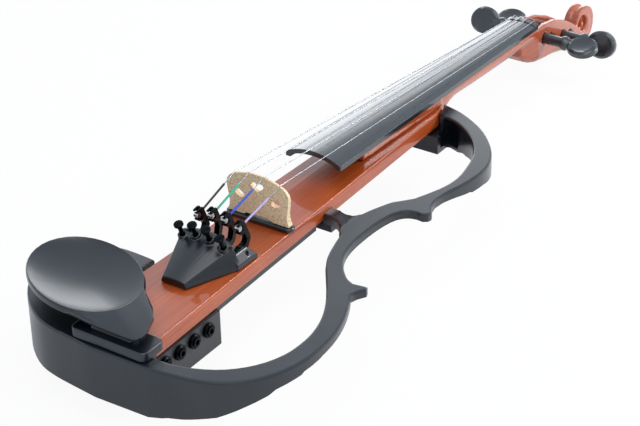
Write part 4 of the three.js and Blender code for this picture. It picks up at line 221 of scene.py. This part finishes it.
def drawn_metal(name, dark, light, roughness, scratch):
    """Polished, then plated or blackened metal: a hard sheen, with fine scratches, their spacing in mm.

    Real ones are closer than 0.1 mm and wouldn't show, so they are drawn three to five times as coarse.
    """
    made, tree, at = material(name)
    drawn = add(tree, "ShaderNodeMapping", {"Vector": at, "Scale": (1, 0.12, 1)})
    lines = add(tree, "ShaderNodeTexNoise", {
        "Vector": drawn.outputs["Vector"], "Scale": 1000 / scratch, "Detail": 4})
    colour = add(tree, "ShaderNodeValToRGB", {"Fac": lines.outputs["Fac"]},
                 stops=[(0.3, dark), (0.7, light)])
    sheen = add(tree, "ShaderNodeMapRange", {
        "Value": lines.outputs["Fac"], "To Min": roughness - 0.06, "To Max": roughness + 0.1})
    metal = add(tree, "ShaderNodeBsdfPrincipled", {
        "Base Color": colour.outputs["Color"], "Metallic": 1.0, "Roughness": sheen.outputs["Result"]})
    add(tree, "ShaderNodeOutputMaterial", {"Surface": metal.outputs["BSDF"]})
    return made


def lacquered_circuit_board():
    """Glass epoxy board under green lacquer: glossy, with paler copper tracks 1.1 mm apart under it.

    The glass weave of 0.5 mm is drawn twice as coarse, so that it shows.
    """
    made, tree, at = material("lacquered_circuit_board")
    tracks = add(tree, "ShaderNodeTexBrick", {
        "Vector": at, "Scale": 220, "Color1": linear("#1e6b3c"), "Color2": linear("#1b5f36"),
        "Mortar": linear("#2f8a4c"), "Mortar Size": 0.03})
    weave = add(tree, "ShaderNodeTexNoise", {"Vector": at, "Scale": 900, "Detail": 2})
    bump = add(tree, "ShaderNodeBump", {"Height": weave.outputs["Fac"], "Strength": 0.1, "Distance": 0.0001})
    board = add(tree, "ShaderNodeBsdfPrincipled", {
        "Base Color": tracks.outputs["Color"], "Roughness": 0.35, "Coat Weight": 0.5,
        "Normal": bump.outputs["Normal"]})
    add(tree, "ShaderNodeOutputMaterial", {"Surface": board.outputs["BSDF"]})
    return made


def shrunk_pvc_sleeve():
    """Shrunk PVC sleeve of a battery cell: grey, softly glossy, the heat's slow ripples 17 mm apart."""
    made, tree, at = material("shrunk_pvc_sleeve")
    slow = add(tree, "ShaderNodeTexNoise", {"Vector": at, "Scale": 60, "Detail": 2})
    colour = add(tree, "ShaderNodeValToRGB", {"Fac": slow.outputs["Fac"]},
                 stops=[(0.3, "#7d8189"), (0.7, "#9a9ea6")])
    bump = add(tree, "ShaderNodeBump", {"Height": slow.outputs["Fac"], "Strength": 0.1, "Distance": 0.0004})
    sleeve = add(tree, "ShaderNodeBsdfPrincipled", {
        "Base Color": colour.outputs["Color"], "Metallic": 0.3, "Roughness": 0.35,
        "Normal": bump.outputs["Normal"]})
    add(tree, "ShaderNodeOutputMaterial", {"Surface": sleeve.outputs["BSDF"]})
    return made


def wound_silk(name, dark, light):
    """Silk thread wound tightly round the string: coloured, soft, with fine rings, their grooves painted
    darker as painted shade and their crests lighter.

    The true thread is 0.15 mm thick and wouldn't show, so its turns are drawn coarser, 0.8 mm apart.
    """
    made, tree, at = material(name)
    turns = add(tree, "ShaderNodeTexWave", {"Vector": at, "Scale": 400, "Distortion": 1.5, "Detail": 2},
                bands_direction="Y")
    # Painted shade and highlight: the wave that raises the turns also colours their grooves dark and their
    # crests light.
    colour = add(tree, "ShaderNodeValToRGB", {"Fac": turns.outputs["Fac"]},
                 stops=[(0.2, dark), (0.8, light)])
    bump = add(tree, "ShaderNodeBump", {"Height": turns.outputs["Fac"], "Strength": 0.4, "Distance": 0.0001})
    thread = add(tree, "ShaderNodeBsdfPrincipled", {
        "Base Color": colour.outputs["Color"], "Roughness": 0.6, "Normal": bump.outputs["Normal"]})
    add(tree, "ShaderNodeOutputMaterial", {"Surface": thread.outputs["BSDF"]})
    return made


FINISH = {
    "varnished_wood": varnished_maple(),
    "black_resin": moulded_abs("moulded_black_abs", "#070b12", "#0f1620", roughness=0.3, grit=0.5),
    "grey_plastic": moulded_abs("moulded_grey_abs", "#2c2d30", "#36373a", roughness=0.5, grit=0.7),
    "ebony": polished_ebony(),
    "maple": quarter_sawn_maple(),
    "black_metal": drawn_metal("blackened_steel", "#0d0e10", "#1d1f23", roughness=0.28, scratch=0.5),
    "nickel": drawn_metal("plated_nickel", "#a9aaab", "#cfcfcd", roughness=0.22, scratch=0.4),
    "string_wire": drawn_metal("wound_steel", "#8f9297", "#c9cbce", roughness=0.25, scratch=0.3),
    "circuit": lacquered_circuit_board(),
    "cell_jacket": shrunk_pvc_sleeve(),
}
SILK = {
    "g": wound_silk("black_silk", "#0e0f11", "#2a2c2f"),
    "d": wound_silk("green_silk", "#0f8f74", "#3fc9a6"),
    "a": wound_silk("blue_silk", "#1c2f9e", "#4763e0"),
    "e": wound_silk("lilac_silk", "#9a84c9", "#d8c9ee"),
}

# Each node's material slot and its body, as the record has them
SLOTS = {part["node"]: part["material_slot"] for part in frame["record"]["subparts"]}
BODIES = {node: body for body, members in frame["record"]["behaviour"]["bodies"].items() for node in members}

for node, cad in frame["nodes"].items():
    cad.data.materials.clear()
    cad.data.materials.append(FINISH[SLOTS[node]])


# Pieces that stand for CAD nodes

MERGE_WITHIN = 0.02  # mm between two points that are one
FLAT_ENOUGH = 0.05   # degrees: only faces in one plane are joined, so a curved side keeps its facets
SHARP_FROM = 38      # degrees from which an edge is eased
EASE_STEPS = 2       # faces across an eased edge
RUBBING = 4          # rounds of smoothing on a carved piece
RUB_SHARE = 0.5      # of the way to its neighbours that a point moves in a round


def pick(piece):
    """Makes a piece the only selected and active object."""
    bpy.ops.object.select_all(action="DESELECT")
    piece.select_set(True)
    bpy.context.view_layer.objects.active = piece


def dressed_copy(node, name, edge=0.0, smooth=35, voxel=0.0):
    """The node's own shape as a piece in its place: edges eased by edge mm, smooth up to that many degrees.

    With voxel, as for a carved piece, it is drawn over in even cells of that many mm and rubbed smooth.
    """
    piece = bpy.data.objects.new(name, frame["nodes"][node].data.copy())
    bpy.context.scene.collection.objects.link(piece)
    pick(piece)
    bpy.ops.object.mode_set(mode="EDIT")
    bpy.ops.mesh.select_all(action="SELECT")
    bpy.ops.mesh.remove_doubles(threshold=MERGE_WITHIN * MM)
    bpy.ops.mesh.dissolve_limited(angle_limit=math.radians(FLAT_ENOUGH))
    bpy.ops.object.mode_set(mode="OBJECT")
    if voxel:
        cells = piece.modifiers.new("cells", "REMESH")
        cells.mode = "VOXEL"
        cells.voxel_size = voxel * MM
        bpy.ops.object.modifier_apply(modifier="cells")
        rubbed = piece.modifiers.new("rubbed", "SMOOTH")
        rubbed.factor = RUB_SHARE
        rubbed.iterations = RUBBING
        bpy.ops.object.modifier_apply(modifier="rubbed")
    if edge:
        bevel = piece.modifiers.new("eased", "BEVEL")
        bevel.width = edge * MM
        bevel.segments = EASE_STEPS
        bevel.limit_method = "ANGLE"
        bevel.angle_limit = math.radians(SHARP_FROM)
        bevel.harden_normals = True
        bpy.ops.object.modifier_apply(modifier="eased")
    bpy.ops.object.shade_smooth_by_angle(angle=math.radians(smooth))
    weighted = piece.modifiers.new("weighted", "WEIGHTED_NORMAL")
    weighted.keep_sharp = True
    bpy.ops.object.modifier_apply(modifier="weighted")
    piece.data.materials.clear()
    piece.data.materials.append(FINISH[SLOTS[node]])
    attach(piece, BODIES[node])
    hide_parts(node)


# The core's and fittings' edges are eased: without that they'd be drawn as knife edges.
dressed_copy("wood_body", "core", edge=0.4, smooth=40)
dressed_copy("fingerboard", "board", edge=0.3, smooth=30)
dressed_copy("nut", "string_nut", edge=0.4, smooth=30)
dressed_copy("outline_frame", "outline", smooth=32)
dressed_copy("chin_rest", "chin_plate", smooth=38)
dressed_copy("chin_rest_pad", "pad")
dressed_copy("jack_housing", "housing")
dressed_copy("battery_door", "door")
dressed_copy("bridge", "bridge_plate", edge=0.2, smooth=30)
dressed_copy("pickup_bar", "bar", edge=0.2)
dressed_copy("volume_knob", "knob")
dressed_copy("power_switch", "switch_button", edge=0.2)
dressed_copy("neck", "neck_wood", smooth=50, voxel=0.9)
dressed_copy("tailpiece", "hood", smooth=45, voxel=0.45)

for letter in "gdae":
    dressed_copy(f"string_{letter}", f"wire_{letter}", smooth=80)
    dressed_copy(f"peg_{letter}", f"peg_wood_{letter}", smooth=40)
    dressed_copy(f"tuner_screw_{letter}", f"thumb_screw_{letter}")
    dressed_copy(f"tuner_lever_{letter}", f"lever_{letter}")
    dressed_copy(f"ball_end_{letter}", f"ball_{letter}")
for number in range(1, 5):
    dressed_copy(f"jack_socket_{number}", f"socket_{number}")
    dressed_copy(f"jack_nut_{number}", f"ring_nut_{number}")


# Silk wound round each string, from its ball end two thirds of the way to the bridge

SILK_SHARE = 0.68        # of the way from the ball end to the bridge
SILK_RADIUS = 0.7
SILK_SIDES = 20
SILK_SMOOTH = 50         # degrees
SILK_TAPER = 0.3         # that the winding narrows at each end
SILK_TAPER_LENGTH = 1.2
RING_SPAN = 1.0          # of a string's length that holds one ring of its points
PAST_BALL = 10           # from a string's tail end; the next ring of points is the one on the bridge
END_FACE = 0.9           # cosine to the string from which a face is the winding's end


def middle(points):
    """The average of some points."""
    return sum(points, Vector()) / len(points)


def silk_winding(letter):
    """A tapered sleeve on the line between two of the string's own rings of points, ball end and bridge."""
    points = [vertex.co.copy() for vertex in frame["nodes"][f"string_{letter}"].data.vertices]
    tail = min(point.y for point in points)
    start = middle([point for point in points if point.y - tail < RING_SPAN * MM])
    beyond = [point for point in points if point.y - tail > PAST_BALL * MM]
    crest = min(point.y for point in beyond)
    crown = middle([point for point in beyond if point.y - crest < RING_SPAN * MM])
    along = crown - start
    length = SILK_SHARE * along.length
    bpy.ops.object.select_all(action="DESELECT")
    bpy.ops.mesh.primitive_cylinder_add(
        vertices=SILK_SIDES, radius=SILK_RADIUS * MM, depth=length,
        location=start + along.normalized() * length / 2, rotation=along.to_track_quat("Z", "Y").to_euler())
    piece = bpy.context.active_object
    piece.name = f"silk_{letter}"
    bpy.ops.object.transform_apply(location=True, rotation=True, scale=True)
    for outward in (along.normalized(), -along.normalized()):
        for face in piece.data.polygons:
            face.select = face.normal.dot(outward) > END_FACE
        bpy.ops.object.mode_set(mode="EDIT")
        bpy.ops.mesh.select_mode(type="FACE")
        bpy.ops.mesh.inset(thickness=SILK_TAPER * MM)
        bpy.ops.transform.translate(value=outward * SILK_TAPER_LENGTH * MM)
        bpy.ops.mesh.select_all(action="DESELECT")
        bpy.ops.object.mode_set(mode="OBJECT")
    bpy.ops.object.shade_smooth_by_angle(angle=math.radians(SILK_SMOOTH))
    piece.data.materials.append(SILK[letter])
    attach(piece, BODIES[f"string_{letter}"])


for letter in SILK:
    silk_winding(letter)


# Floor, backdrop and light

FLOOR_SIZE = 12         # metres
DIRECT_WHITE = 0.93     # share of plain white in the floor as the camera sees it
SKY_LIGHT = 0.55        # strength of the surroundings as soft light; seen or mirrored, it is 1
COOL_WHITE = "#dfebf7"  # their colour on the object, as the photograph's blacks are slate; seen, white


def white_paper():
    """White paper: seen directly it is nearly white, and it keeps the object's soft shadow."""
    made, tree, _ = material("white_paper")
    paper = add(tree, "ShaderNodeBsdfDiffuse", {"Color": linear("#f4f4f4")})
    white = add(tree, "ShaderNodeEmission", {"Color": linear("#ffffff"), "Strength": 1.0})
    ray = add(tree, "ShaderNodeLightPath")
    seen = add(tree, "ShaderNodeMath", {0: ray.outputs["Is Camera Ray"], 1: DIRECT_WHITE},
               operation="MULTIPLY")
    mixed = add(tree, "ShaderNodeMixShader", {
        0: seen.outputs[0], 1: paper.outputs["BSDF"], 2: white.outputs["Emission"]})
    add(tree, "ShaderNodeOutputMaterial", {"Surface": mixed.outputs["Shader"]})
    return made


bpy.ops.object.select_all(action="DESELECT")
bpy.ops.mesh.primitive_plane_add(size=FLOOR_SIZE, location=(0, 0, cad_low.z))
floor = bpy.context.active_object
floor.name = "floor"
floor.data.materials.append(white_paper())

world = bpy.data.worlds.new("studio")
world.use_nodes = True
bpy.context.scene.world = world
sky_tree = world.node_tree
sky_tree.nodes.clear()
ray = add(sky_tree, "ShaderNodeLightPath")
seen = add(sky_tree, "ShaderNodeMath", {0: ray.outputs["Is Camera Ray"], 1: ray.outputs["Is Glossy Ray"]},
           operation="ADD", use_clamp=True)
level = add(sky_tree, "ShaderNodeMix", {"Factor": seen.outputs[0], "A": SKY_LIGHT, "B": 1.0})
tint = add(sky_tree, "ShaderNodeMix", {
    "Factor": ray.outputs["Is Camera Ray"], "A": linear(COOL_WHITE), "B": linear("#ffffff")},
    data_type="RGBA")
sky = add(sky_tree, "ShaderNodeBackground", {
    "Color": tint.outputs["Result"], "Strength": level.outputs["Result"]})
add(sky_tree, "ShaderNodeOutputWorld", {"Surface": sky.outputs["Background"]})


def soft_box(name, at, aim, size, power):
    """A square lamp, size in metres and power in watts."""
    lamp = bpy.data.objects.new(name, bpy.data.lights.new(name, "AREA"))
    bpy.context.scene.collection.objects.link(lamp)
    lamp.data.size = size
    lamp.data.energy = power
    lamp.location = at
    lamp.rotation_euler = (Vector(aim) - Vector(at)).to_track_quat("-Z", "Y").to_euler()


# The back light stands where the near side of the chin plate's dish mirrors it.
soft_box("top_light", at=(0.3, -0.4, 2.0), aim=(0, 0, 0), size=1.6, power=13)
soft_box("back_light", at=(-1.15, 1.65, 0.45), aim=(0, 0, 0.03), size=1.2, power=9)
soft_box("front_light", at=(1.2, -1.4, 1.2), aim=(0, 0, 0), size=1.0, power=5)
soft_box("neck_light", at=(0.9, 0.9, 0.7), aim=(0, 0.3, 0.05), size=0.5, power=14)
